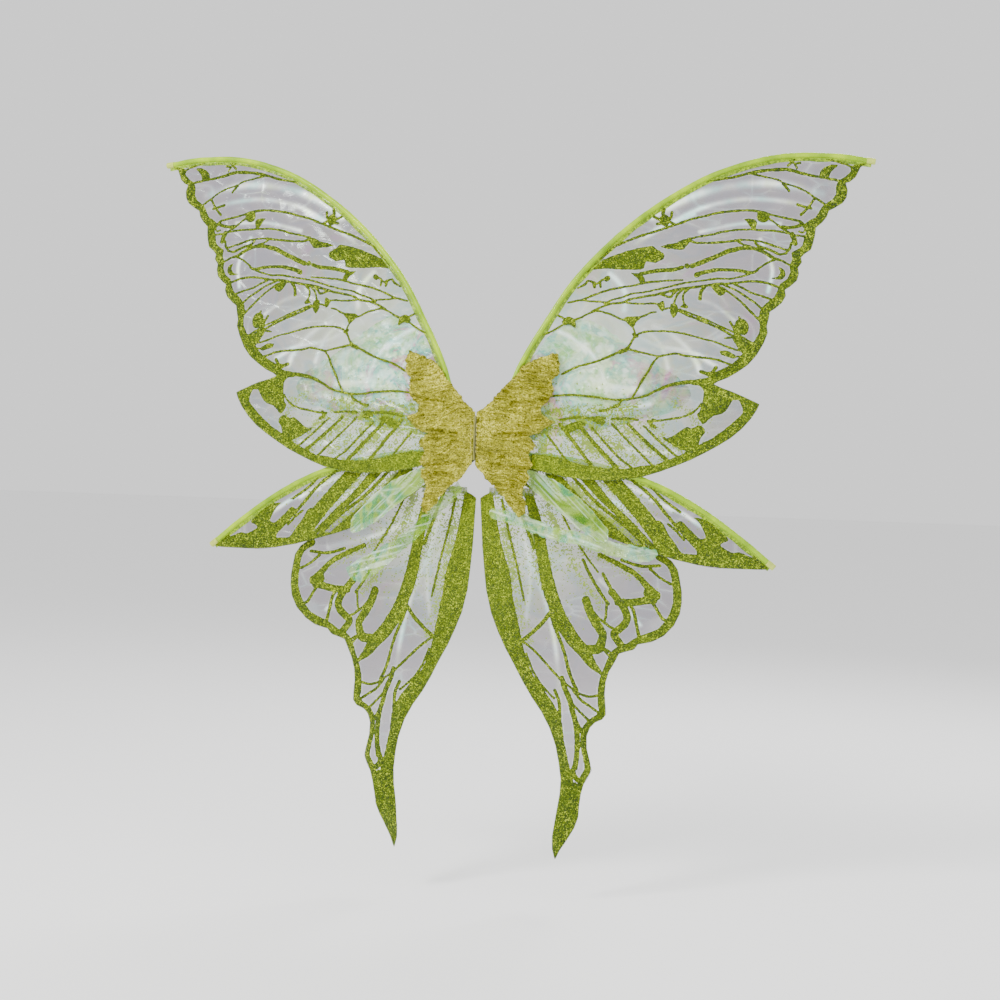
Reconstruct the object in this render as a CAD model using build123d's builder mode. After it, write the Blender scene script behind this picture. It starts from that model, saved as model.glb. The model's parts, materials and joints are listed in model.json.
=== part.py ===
from build123d import *
import math
import os

os.makedirs("parts", exist_ok=True)

# ---------------------------------------------------------------------------
# Costume fairy wings, millimetres.
# +X towards the wearer's right-hand wing, +Y forwards, out of the pad and into
# the wearer's back, +Z up.  The origin is on the face of the back pad that
# rests on the wearer, level with the middle of the gold centre.
# ---------------------------------------------------------------------------

# Planes of the three film layers: Y = a + b * X + c * Z
FORE = (-30.0, 0.17, 0.11)      # forewing, swept forwards and leaning forwards
HIND = (-20.5, 0.14, 0.05)      # leaf-shaped hindwing, one layer further in
TAIL = (-14.0, 0.10, -0.045)    # hanging tail, innermost layer

CREASE_Y = -42.0                # the vertical fold between the two wings
CREASE_GAP = 0.7                # half gap between the gold covers at the fold
CREASE_SLOPE = 0.33             # how the covers rise away from the fold

FILM_T = 0.8                    # cellophane panels
GLITTER_T = 0.5                 # glitter vinyl on the film
WIRE_R = 1.2                    # spring steel wire
BORE_R = 1.5                    # inside of the casing
SLEEVE_R = 3.5                  # outside of the casing
CAP_R = 4.0                     # blunt end caps
CAP_LEN = 11.0
CAP_DEPTH = 8.0

COVER_BACK = 4.8                # gold cover, distance in front of the film
COVER_FRONT = 13.0
BACKING_FRONT = 4.0             # backing cloth, distance behind the film
BACKING_T = 1.0

BOARD_W, BOARD_H, BOARD_T = 116.0, 88.0, 2.0
PAD_W, PAD_H, PAD_T = 84.0, 84.0, 6.0
NOTCH_W, WAIST = 26.0, 22.0       # notch half width, half height left at the fold
TAPE_W, TAPE_H, TAPE_T, WEB_T = 28.0, 40.0, 0.9, 0.7

STRAP_X = 50.5                  # line of the shoulder loops
STRAP_W, STRAP_T = 12.0, 1.6
STRAP_Y0 = -1.5
LUG_W, LUG_LEN, LUG_H = 4.0, 2.8, 10.0
LUG_Z = 30.0

# ---- profiles, (s, t) in each layer's own plane ------------------------------
FORE_WIRE = [(20.5, 13.0), (36.5, 53.0), (54.5, 97.0), (82.5, 147.0),
             (118.0, 202.0), (169.0, 257.0), (224.5, 301.0), (286.5, 336.5),
             (358.5, 358.5), (427.0, 361.5), (477.0, 355.5)]
FORE_EDGE = [(463.5, 349.5), (456.5, 335.5), (444.5, 328.5), (446.5, 318.0),
             (442.5, 302.5), (423.0, 291.5), (416.0, 278.5), (407.0, 270.0),
             (408.5, 259.5), (404.5, 243.5), (391.5, 232.5), (391.5, 225.5),
             (389.0, 215.5), (388.0, 204.5), (371.5, 192.0), (373.0, 183.0),
             (366.0, 171.5), (354.0, 165.5), (351.5, 149.0), (352.0, 138.0),
             (347.5, 124.0), (339.0, 109.0), (326.0, 96.0), (310.5, 85.0),
             (290.5, 75.0)]
LOBE_EDGE = [(308.5, 66.5), (327.0, 59.5), (345.0, 51.5), (338.5, 39.0),
             (327.5, 24.0), (310.0, 7.5), (291.0, -5.5), (273.0, -15.5),
             (255.0, -24.5), (233.5, -32.0), (205.5, -40.5), (180.5, -46.0),
             (156.0, -47.5), (131.5, -46.5), (106.0, -43.5), (87.5, -40.5),
             (69.0, -36.0), (40.0, -26.0), (10.0, -16.0), (10.0, 12.0)]
FORE_BAND_IN = [(300.0, 90.0), (314.0, 103.0), (326.0, 116.0), (335.0, 130.0),
                (339.0, 146.0), (342.0, 172.0), (352.0, 181.0), (358.0, 200.0),
                (374.0, 212.0), (377.0, 230.0), (389.0, 249.0), (393.0, 276.0),
                (408.0, 292.0), (428.0, 309.0), (433.0, 331.0), (447.0, 345.0)]
LOBE_BAND_IN = [(60.0, -18.0), (88.0, -24.0), (118.0, -28.0), (156.0, -29.0),
                (196.0, -24.0), (234.0, -13.0), (268.0, 2.0), (296.0, 21.0),
                (314.0, 40.0), (280.0, 60.0)]

HIND_WIRE = [(33.5, -18.0), (101.5, -21.5), (169.5, -34.5), (225.0, -53.5),
             (274.5, -79.5), (324.0, -114.0), (363.5, -146.0)]
LEAF_EDGE = [(352.0, -149.0), (323.0, -150.0), (287.5, -147.5),
             (262.0, -144.0), (235.0, -138.5), (203.0, -128.5),
             (166.0, -117.5), (129.0, -103.0), (91.5, -79.5), (53.5, -56.0),
             (33.0, -42.0)]
LEAF_BAND_IN = [(60.0, -50.0), (96.0, -66.0), (134.0, -88.0), (172.0, -103.0),
                (208.0, -114.0), (242.0, -125.0), (270.0, -131.0),
                (300.0, -128.0), (322.0, -128.0), (340.0, -136.0)]

TAIL_EDGE = [(230.0, -128.0), (244.0, -146.0), (250.0, -157.0),
             (254.5, -177.5), (255.0, -197.0), (250.5, -214.5),
             (240.0, -232.0), (223.0, -242.5), (201.0, -248.5),
             (194.0, -256.0), (181.5, -259.0), (171.0, -279.5),
             (165.5, -294.5), (163.5, -312.0), (165.0, -334.0),
             (160.5, -343.0), (149.5, -348.5), (142.0, -361.5),
             (142.5, -381.5), (149.5, -408.5), (141.0, -423.5),
             (135.5, -446.5), (133.5, -466.5), (127.5, -484.5),
             (115.5, -502.5), (106.0, -520.5), (102.0, -505.5),
             (101.5, -490.5), (106.0, -458.0), (109.0, -433.0),
             (108.5, -408.0), (104.0, -383.0), (97.5, -358.5),
             (84.5, -337.0), (71.5, -316.0), (53.5, -288.5), (36.5, -254.0),
             (20.5, -220.0), (11.5, -186.5), (5.5, -143.5), (4.0, -101.5),
             (8.0, -70.0)]
TAIL_TOP = [(8.0, -70.0), (16.0, -66.0), (72.0, -66.0), (110.0, -74.0),
            (170.0, -96.0), (230.0, -128.0)]
TAIL_BAND_IN = [(28.0, -76.0), (26.0, -120.0), (30.0, -160.0), (37.0, -200.0),
                (52.0, -240.0), (68.0, -272.0), (88.0, -304.0),
                (104.0, -332.0), (116.0, -360.0), (121.0, -390.0),
                (121.0, -430.0), (116.0, -462.0)]
HEADER = (16.0, 72.0, -64.0, 7.0)   # s from, s to, middle t, height

GOLD = [(0.0, 30.0), (18.0, 45.5), (31.0, 61.5), (43.0, 73.5), (53.5, 87.5),
        (67.0, 97.0), (82.5, 102.5), (97.0, 107.0), (100.0, 93.0),
        (99.5, 81.0), (92.0, 73.0), (94.0, 59.5), (89.5, 48.5), (78.5, 39.5),
        (79.0, 31.0), (94.5, 21.5), (78.5, 9.5), (62.5, 3.5), (75.0, -8.5),
        (64.5, -18.5), (70.0, -32.0), (65.0, -39.5), (68.0, -48.0),
        (61.0, -58.0), (59.0, -66.5), (64.0, -81.0), (63.0, -92.0),
        (56.0, -97.0), (46.0, -84.0), (35.5, -70.0), (25.5, -59.0),
        (14.0, -49.5), (0.0, -32.0)]
BACKING = [(6.0, -2.0), (6.0, 24.0), (22.0, 42.0), (40.0, 64.0),
           (58.0, 86.0), (84.0, 96.0), (90.0, 78.0), (80.0, 44.0),
           (68.0, 20.0), (60.0, -2.0)]
OVERLAY = [(62.0, 100.0), (81.0, 124.0), (106.5, 150.0), (140.0, 150.0),
           (198.5, 112.0), (258.0, 72.0), (250.0, 44.0), (196.0, 26.0),
           (151.5, 14.0), (96.0, 4.0), (60.0, 4.0)]
STREAMER_R = [(20.0, -84.0), (60.0, -92.0), (96.0, -106.0), (124.0, -110.0),
              (170.0, -122.0), (222.0, -130.0), (214.0, -146.0),
              (170.0, -140.0), (126.0, -128.0), (92.0, -122.0),
              (56.0, -108.0), (20.0, -98.0)]
STREAMER_L = [(22.0, -54.0), (52.0, -84.0), (86.0, -118.0), (132.0, -146.0),
              (166.0, -168.0), (146.0, -186.0), (108.0, -158.0),
              (70.0, -124.0), (40.0, -92.0), (16.0, -66.0)]


def layer(spec, lift=0.0):
    """Plane of a film layer; its normal points away from the wearer."""
    a, b, c = spec
    n = Vector(b, -1, c).normalized()
    base = Plane(origin=(0, a, 0), x_dir=(1, b, 0), z_dir=n)
    return base.offset(lift)


def waisted(width, height):
    """Rectangle outline with a shallow notch top and bottom at the fold."""
    x, z = width / 2, height / 2
    return [(-x, -z), (-NOTCH_W, -z), (0, -WAIST), (NOTCH_W, -z), (x, -z),
            (x, z), (NOTCH_W, z), (0, WAIST), (-NOTCH_W, z), (-x, z)]


def corner_radii(points):
    """Large tangent arcs: 0.45 of the shorter run at each corner."""
    radii = []
    for p, q, r in zip(points, points[1:], points[2:]):
        a, b = Vector(*p), Vector(*q)
        c = Vector(*r)
        turn = math.radians((b - a).get_angle(c - b))
        radii.append(0.45 * min((b - a).length, (c - b).length)
                     / math.tan(turn / 2))
    return radii



# ---- wing wires, casings and end caps ---------------------------------------
fore_plane = layer(FORE)
hind_plane = layer(HIND)
tail_plane = layer(TAIL)

with BuildLine(fore_plane) as fore_path:
    FilletPolyline(*FORE_WIRE, radius=corner_radii(FORE_WIRE))
with BuildLine(hind_plane) as hind_path:
    FilletPolyline(*HIND_WIRE, radius=corner_radii(HIND_WIRE))

fore_start = Plane(origin=fore_path.line @ 0, z_dir=fore_path.line % 0)
hind_start = Plane(origin=hind_path.line @ 0, z_dir=hind_path.line % 0)
fore_end = Plane(origin=fore_path.line @ 1, z_dir=fore_path.line % 1)
hind_end = Plane(origin=hind_path.line @ 1, z_dir=hind_path.line % 1)

with BuildPart() as right_forewing_wire:
    with BuildSketch(fore_start):
        Circle(WIRE_R)
    sweep(path=fore_path.wires()[0])
right_forewing_wire.part.label = "right_forewing_wire"

with BuildPart() as right_forewing_sleeve:
    with BuildSketch(fore_start):
        Circle(SLEEVE_R)
        Circle(BORE_R, mode=Mode.SUBTRACT)
    sweep(path=fore_path.wires()[0])
right_forewing_sleeve.part.label = "right_forewing_sleeve"

with BuildPart() as fore_envelope:
    with BuildSketch(fore_start):
        Circle(SLEEVE_R + 0.15)
    sweep(path=fore_path.wires()[0])
    with BuildSketch(fore_end.offset(-CAP_DEPTH - 0.3)):
        Circle(CAP_R + 0.15)
    extrude(amount=CAP_LEN + 0.6)

with BuildPart() as right_forewing_cap:
    with BuildSketch(fore_end.offset(-CAP_DEPTH)):
        Circle(CAP_R)
    extrude(amount=CAP_LEN)
    fillet(right_forewing_cap.edges().filter_by(GeomType.CIRCLE)
           .sort_by(Axis(fore_end.origin, fore_end.z_dir))[-1:],
           radius=1.2)
    with BuildSketch(fore_end.offset(-CAP_DEPTH)):
        Circle(SLEEVE_R + 0.05)
    extrude(amount=CAP_DEPTH + 0.05, mode=Mode.SUBTRACT)
right_forewing_cap.part.label = "right_forewing_cap"

with BuildPart() as right_hindwing_wire:
    with BuildSketch(hind_start):
        Circle(WIRE_R)
    sweep(path=hind_path.wires()[0])
right_hindwing_wire.part.label = "right_hindwing_wire"

with BuildPart() as right_hindwing_sleeve:
    with BuildSketch(hind_start):
        Circle(SLEEVE_R)
        Circle(BORE_R, mode=Mode.SUBTRACT)
    sweep(path=hind_path.wires()[0])
right_hindwing_sleeve.part.label = "right_hindwing_sleeve"

with BuildPart() as hind_envelope:
    with BuildSketch(hind_start):
        Circle(SLEEVE_R + 0.15)
    sweep(path=hind_path.wires()[0])
    with BuildSketch(hind_end.offset(-CAP_DEPTH - 0.3)):
        Circle(CAP_R + 0.15)
    extrude(amount=CAP_LEN + 0.6)

with BuildPart() as right_hindwing_cap:
    with BuildSketch(hind_end.offset(-CAP_DEPTH)):
        Circle(CAP_R)
    extrude(amount=CAP_LEN)
    fillet(right_hindwing_cap.edges().filter_by(GeomType.CIRCLE)
           .sort_by(Axis(hind_end.origin, hind_end.z_dir))[-1:], radius=1.2)
    with BuildSketch(hind_end.offset(-CAP_DEPTH)):
        Circle(SLEEVE_R + 0.05)
    extrude(amount=CAP_DEPTH + 0.05, mode=Mode.SUBTRACT)
right_hindwing_cap.part.label = "right_hindwing_cap"

# ---- film panels and their glitter ------------------------------------------
with BuildPart() as right_forewing_film:
    with BuildSketch(fore_plane):
        with BuildLine():
            Polyline(*FORE_WIRE[:-1], *FORE_EDGE, *LOBE_EDGE, close=True)
        make_face()
    extrude(amount=FILM_T / 2, both=True)
    add(fore_envelope.part, mode=Mode.SUBTRACT)
right_forewing_film.part.label = "right_forewing_film"

with BuildPart() as right_forewing_glitter:
    with BuildSketch(layer(FORE, FILM_T / 2)):
        with BuildLine():
            Polyline(*FORE_EDGE, *FORE_BAND_IN, close=True)
        make_face()
        with BuildLine():
            Polyline((290.5, 75.0), *LOBE_EDGE[:-3], *LOBE_BAND_IN, close=True)
        make_face()
    extrude(amount=GLITTER_T)
    add(fore_envelope.part, mode=Mode.SUBTRACT)
right_forewing_glitter.part.label = "right_forewing_glitter"

with BuildPart() as right_forewing_overlay:
    with BuildSketch(layer(FORE, 1.6)):
        with BuildLine():
            Polyline(*OVERLAY, close=True)
        make_face()
    extrude(amount=FILM_T)
    add(fore_envelope.part, mode=Mode.SUBTRACT)
right_forewing_overlay.part.label = "right_forewing_overlay"

with BuildPart() as right_hindwing_film:
    with BuildSketch(hind_plane):
        with BuildLine():
            Polyline(*HIND_WIRE[:-1], *LEAF_EDGE, close=True)
        make_face()
    extrude(amount=FILM_T / 2, both=True)
    add(hind_envelope.part, mode=Mode.SUBTRACT)
right_hindwing_film.part.label = "right_hindwing_film"

with BuildPart() as right_hindwing_glitter:
    with BuildSketch(layer(HIND, FILM_T / 2)):
        with BuildLine():
            Polyline(*LEAF_EDGE[:-1], *LEAF_BAND_IN, close=True)
        make_face()
    extrude(amount=GLITTER_T)
    add(hind_envelope.part, mode=Mode.SUBTRACT)
right_hindwing_glitter.part.label = "right_hindwing_glitter"

with BuildPart() as right_tail_film:
    with BuildSketch(tail_plane):
        with BuildLine():
            Polyline(*TAIL_EDGE, *TAIL_TOP[1:-1], close=True)
        make_face()
    extrude(amount=FILM_T / 2, both=True)
right_tail_film.part.label = "right_tail_film"

with BuildPart() as right_tail_glitter:
    with BuildSketch(layer(TAIL, FILM_T / 2)):
        with BuildLine():
            Polyline(*TAIL_EDGE[26:], *TAIL_BAND_IN, close=True)
        make_face()
    extrude(amount=GLITTER_T)
right_tail_glitter.part.label = "right_tail_glitter"

s0, s1, tm, hh = HEADER
with BuildPart() as right_tail_header:
    with BuildSketch(layer(TAIL, FILM_T / 2 + 0.1)):
        with Locations(((s0 + s1) / 2, tm)):
            RectangleRounded(s1 - s0, hh, 1.5)
    extrude(amount=1.4)
right_tail_header.part.label = "right_tail_header"

# ---- gathered gold cover and the backing cloth behind it ---------------------
cover_limit = Plane(origin=(0, CREASE_Y, 0),
                    z_dir=Vector(-CREASE_SLOPE, -1, 0).normalized())
with BuildPart() as right_centre_cover:
    with BuildSketch(layer(FORE, COVER_BACK)):
        with BuildLine():
            Polyline(*GOLD, close=True)
        make_face()
    extrude(amount=COVER_FRONT - COVER_BACK)
    split(bisect_by=cover_limit, keep=Keep.BOTTOM)
    split(bisect_by=Plane.YZ.offset(CREASE_GAP), keep=Keep.TOP)
right_centre_cover.part.label = "right_centre_cover"

with BuildPart() as right_centre_backing:
    with BuildSketch(layer(FORE, -BACKING_FRONT - BACKING_T)):
        with BuildLine():
            Polyline(*BACKING, close=True)
        make_face()
    extrude(amount=BACKING_T)
right_centre_backing.part.label = "right_centre_backing"

# ---- loose cellophane ends hanging out from under the gold ------------------
with BuildPart() as right_streamer:
    with BuildSketch(layer(HIND, 6.0)):
        with BuildLine():
            Polyline(*STREAMER_R, close=True)
        make_face()
    extrude(amount=FILM_T)
right_streamer.part.label = "right_streamer"

with BuildPart() as streamer_pattern:
    with BuildSketch(layer(HIND, 6.0)):
        with BuildLine():
            Polyline(*STREAMER_L, close=True)
        make_face()
    extrude(amount=FILM_T)

with BuildPart() as left_streamer:
    mirror(streamer_pattern.part, about=Plane.YZ)
left_streamer.part.label = "left_streamer"

# ---- back panel: waisted board and pad, and the sewn hinge tape --------------
with BuildPart() as back_board:
    with BuildSketch(Plane.XZ.offset(PAD_T)):
        with BuildLine():
            Polyline(*waisted(BOARD_W, BOARD_H), close=True)
        make_face()
        fillet(vertices(), radius=7)
    extrude(amount=BOARD_T)
back_board.part.label = "back_board"

with BuildPart() as back_pad:
    with BuildSketch(Plane.XZ):
        with BuildLine():
            Polyline(*waisted(PAD_W, PAD_H), close=True)
        make_face()
        fillet(vertices(), radius=7)
    extrude(amount=PAD_T)
back_pad.part.label = "back_pad"

tape_face = PAD_T + BOARD_T
with BuildPart() as hinge_tape:
    with BuildSketch(Plane.XZ.offset(tape_face)):
        Rectangle(TAPE_W, TAPE_H)
    extrude(amount=TAPE_T)
    with BuildSketch(Plane.XZ.offset(tape_face + TAPE_T)):
        Rectangle(WEB_T, TAPE_H)
    extrude(amount=-CREASE_Y - tape_face - TAPE_T)
hinge_tape.part.label = "hinge_tape"

# ---- elastic shoulder loops and their sewn lugs -------------------------------
STRAP_PATH = [(STRAP_Y0, 30.0), (34.0, 40.0), (84.0, 40.0), (124.0, 22.0),
              (124.0, -22.0), (84.0, -40.0), (34.0, -40.0), (STRAP_Y0, -30.0)]
STRAP_BENDS = [60.0, 90.0, 26.0, 26.0, 90.0, 60.0]
with BuildPart() as right_strap:
    with BuildSketch(Plane.YZ.offset(STRAP_X - STRAP_W / 2)):
        with BuildLine() as strap_line:
            FilletPolyline(*STRAP_PATH, radius=STRAP_BENDS)
        trace(line_width=STRAP_T)
    extrude(amount=STRAP_W)
right_strap.part.label = "right_strap"

with BuildPart() as right_strap_lugs:
    with BuildSketch(Plane.XZ.offset(PAD_T)):
        with Locations((STRAP_X, LUG_Z), (STRAP_X, -LUG_Z)):
            Rectangle(LUG_W, LUG_H)
    extrude(amount=-LUG_LEN)
right_strap_lugs.part.label = "right_strap_lugs"

# ---- the left side is the mirror image --------------------------------------
with BuildPart() as left_forewing_wire:
    mirror(right_forewing_wire.part, about=Plane.YZ)
left_forewing_wire.part.label = "left_forewing_wire"
with BuildPart() as left_forewing_sleeve:
    mirror(right_forewing_sleeve.part, about=Plane.YZ)
left_forewing_sleeve.part.label = "left_forewing_sleeve"
with BuildPart() as left_forewing_cap:
    mirror(right_forewing_cap.part, about=Plane.YZ)
left_forewing_cap.part.label = "left_forewing_cap"
with BuildPart() as left_forewing_film:
    mirror(right_forewing_film.part, about=Plane.YZ)
left_forewing_film.part.label = "left_forewing_film"
with BuildPart() as left_forewing_glitter:
    mirror(right_forewing_glitter.part, about=Plane.YZ)
left_forewing_glitter.part.label = "left_forewing_glitter"
with BuildPart() as left_forewing_overlay:
    mirror(right_forewing_overlay.part, about=Plane.YZ)
left_forewing_overlay.part.label = "left_forewing_overlay"
with BuildPart() as left_hindwing_wire:
    mirror(right_hindwing_wire.part, about=Plane.YZ)
left_hindwing_wire.part.label = "left_hindwing_wire"
with BuildPart() as left_hindwing_sleeve:
    mirror(right_hindwing_sleeve.part, about=Plane.YZ)
left_hindwing_sleeve.part.label = "left_hindwing_sleeve"
with BuildPart() as left_hindwing_cap:
    mirror(right_hindwing_cap.part, about=Plane.YZ)
left_hindwing_cap.part.label = "left_hindwing_cap"
with BuildPart() as left_hindwing_film:
    mirror(right_hindwing_film.part, about=Plane.YZ)
left_hindwing_film.part.label = "left_hindwing_film"
with BuildPart() as left_hindwing_glitter:
    mirror(right_hindwing_glitter.part, about=Plane.YZ)
left_hindwing_glitter.part.label = "left_hindwing_glitter"
with BuildPart() as left_tail_film:
    mirror(right_tail_film.part, about=Plane.YZ)
left_tail_film.part.label = "left_tail_film"
with BuildPart() as left_tail_glitter:
    mirror(right_tail_glitter.part, about=Plane.YZ)
left_tail_glitter.part.label = "left_tail_glitter"
with BuildPart() as left_tail_header:
    mirror(right_tail_header.part, about=Plane.YZ)
left_tail_header.part.label = "left_tail_header"
with BuildPart() as left_centre_cover:
    mirror(right_centre_cover.part, about=Plane.YZ)
left_centre_cover.part.label = "left_centre_cover"
with BuildPart() as left_centre_backing:
    mirror(right_centre_backing.part, about=Plane.YZ)
left_centre_backing.part.label = "left_centre_backing"
with BuildPart() as left_strap:
    mirror(right_strap.part, about=Plane.YZ)
left_strap.part.label = "left_strap"
with BuildPart() as left_strap_lugs:
    mirror(right_strap_lugs.part, about=Plane.YZ)
left_strap_lugs.part.label = "left_strap_lugs"

for piece in (back_board, back_pad, hinge_tape,
              right_strap, left_strap, right_strap_lugs, left_strap_lugs,
              right_centre_cover, left_centre_cover,
              right_centre_backing, left_centre_backing,
              right_forewing_wire, left_forewing_wire,
              right_forewing_sleeve, left_forewing_sleeve,
              right_forewing_cap, left_forewing_cap,
              right_forewing_film, left_forewing_film,
              right_forewing_glitter, left_forewing_glitter,
              right_forewing_overlay, left_forewing_overlay,
              right_streamer, left_streamer,
              right_hindwing_wire, left_hindwing_wire,
              right_hindwing_sleeve, left_hindwing_sleeve,
              right_hindwing_cap, left_hindwing_cap,
              right_hindwing_film, left_hindwing_film,
              right_hindwing_glitter, left_hindwing_glitter,
              right_tail_film, left_tail_film,
              right_tail_glitter, left_tail_glitter,
              right_tail_header, left_tail_header):
    export_step(piece.part, "parts/" + piece.part.label + ".step")

print("forewing bend radii", [round(r) for r in corner_radii(FORE_WIRE)])
print("hindwing bend radii", [round(r) for r in corner_radii(HIND_WIRE)])
print("hind pivot", hind_plane.from_local_coords((33.5, -18.0)), "normal", hind_plane.z_dir)
print("tail axis", tail_plane.from_local_coords((16.0, -64.0)), "dir", tail_plane.x_dir)
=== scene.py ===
import json
import math

import bpy
import numpy as np
from mathutils import Matrix, Vector

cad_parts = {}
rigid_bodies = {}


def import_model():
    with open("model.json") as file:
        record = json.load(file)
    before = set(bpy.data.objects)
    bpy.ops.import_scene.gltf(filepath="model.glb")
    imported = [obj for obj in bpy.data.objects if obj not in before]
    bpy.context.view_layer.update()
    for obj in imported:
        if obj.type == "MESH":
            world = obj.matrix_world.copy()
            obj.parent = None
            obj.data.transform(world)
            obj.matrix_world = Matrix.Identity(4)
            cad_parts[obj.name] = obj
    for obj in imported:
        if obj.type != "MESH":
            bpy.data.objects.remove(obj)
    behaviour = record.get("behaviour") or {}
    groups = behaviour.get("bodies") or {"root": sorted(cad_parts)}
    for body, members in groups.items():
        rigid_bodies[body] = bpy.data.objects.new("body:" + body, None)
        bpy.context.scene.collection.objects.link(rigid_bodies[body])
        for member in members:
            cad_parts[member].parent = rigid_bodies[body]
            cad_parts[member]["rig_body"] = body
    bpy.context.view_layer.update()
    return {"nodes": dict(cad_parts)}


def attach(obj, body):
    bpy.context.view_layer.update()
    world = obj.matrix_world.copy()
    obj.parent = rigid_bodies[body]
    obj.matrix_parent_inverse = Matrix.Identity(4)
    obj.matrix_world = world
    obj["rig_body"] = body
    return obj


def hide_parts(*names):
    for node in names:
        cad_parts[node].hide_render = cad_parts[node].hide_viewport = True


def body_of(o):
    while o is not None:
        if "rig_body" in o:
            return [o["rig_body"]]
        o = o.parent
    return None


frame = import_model()
NODES = frame["nodes"]
MM = 0.001

# ---- camera -------------------------------------------------------------------
TURN, AWAY, ROLL = math.radians(14.0), 2.536, math.radians(1.583)
cam_data = bpy.data.cameras.new("camera")
cam_data.lens = 73.04
cam_data.sensor_width = 36.0
cam_data.shift_x = 0.01494
cam_data.shift_y = -0.06163
cam_data.clip_start, cam_data.clip_end = 0.05, 60.0
camera = bpy.data.objects.new("camera", cam_data)
bpy.context.scene.collection.objects.link(camera)
bpy.context.scene.camera = camera
r = Vector((math.cos(TURN), math.sin(TURN), 0.0))
u = Vector((0.0, 0.0, 1.0))
n = Vector((math.sin(TURN), -math.cos(TURN), 0.0))
rr = r * math.cos(ROLL) + u * math.sin(ROLL)
uu = -r * math.sin(ROLL) + u * math.cos(ROLL)
m = Matrix.Identity(4)
for k in range(3):
    m[k][0], m[k][1], m[k][2] = rr[k], uu[k], n[k]
    m[k][3] = (n * AWAY + Vector((0.0, 0.016, 0.0)))[k]
camera.matrix_world = m

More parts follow.
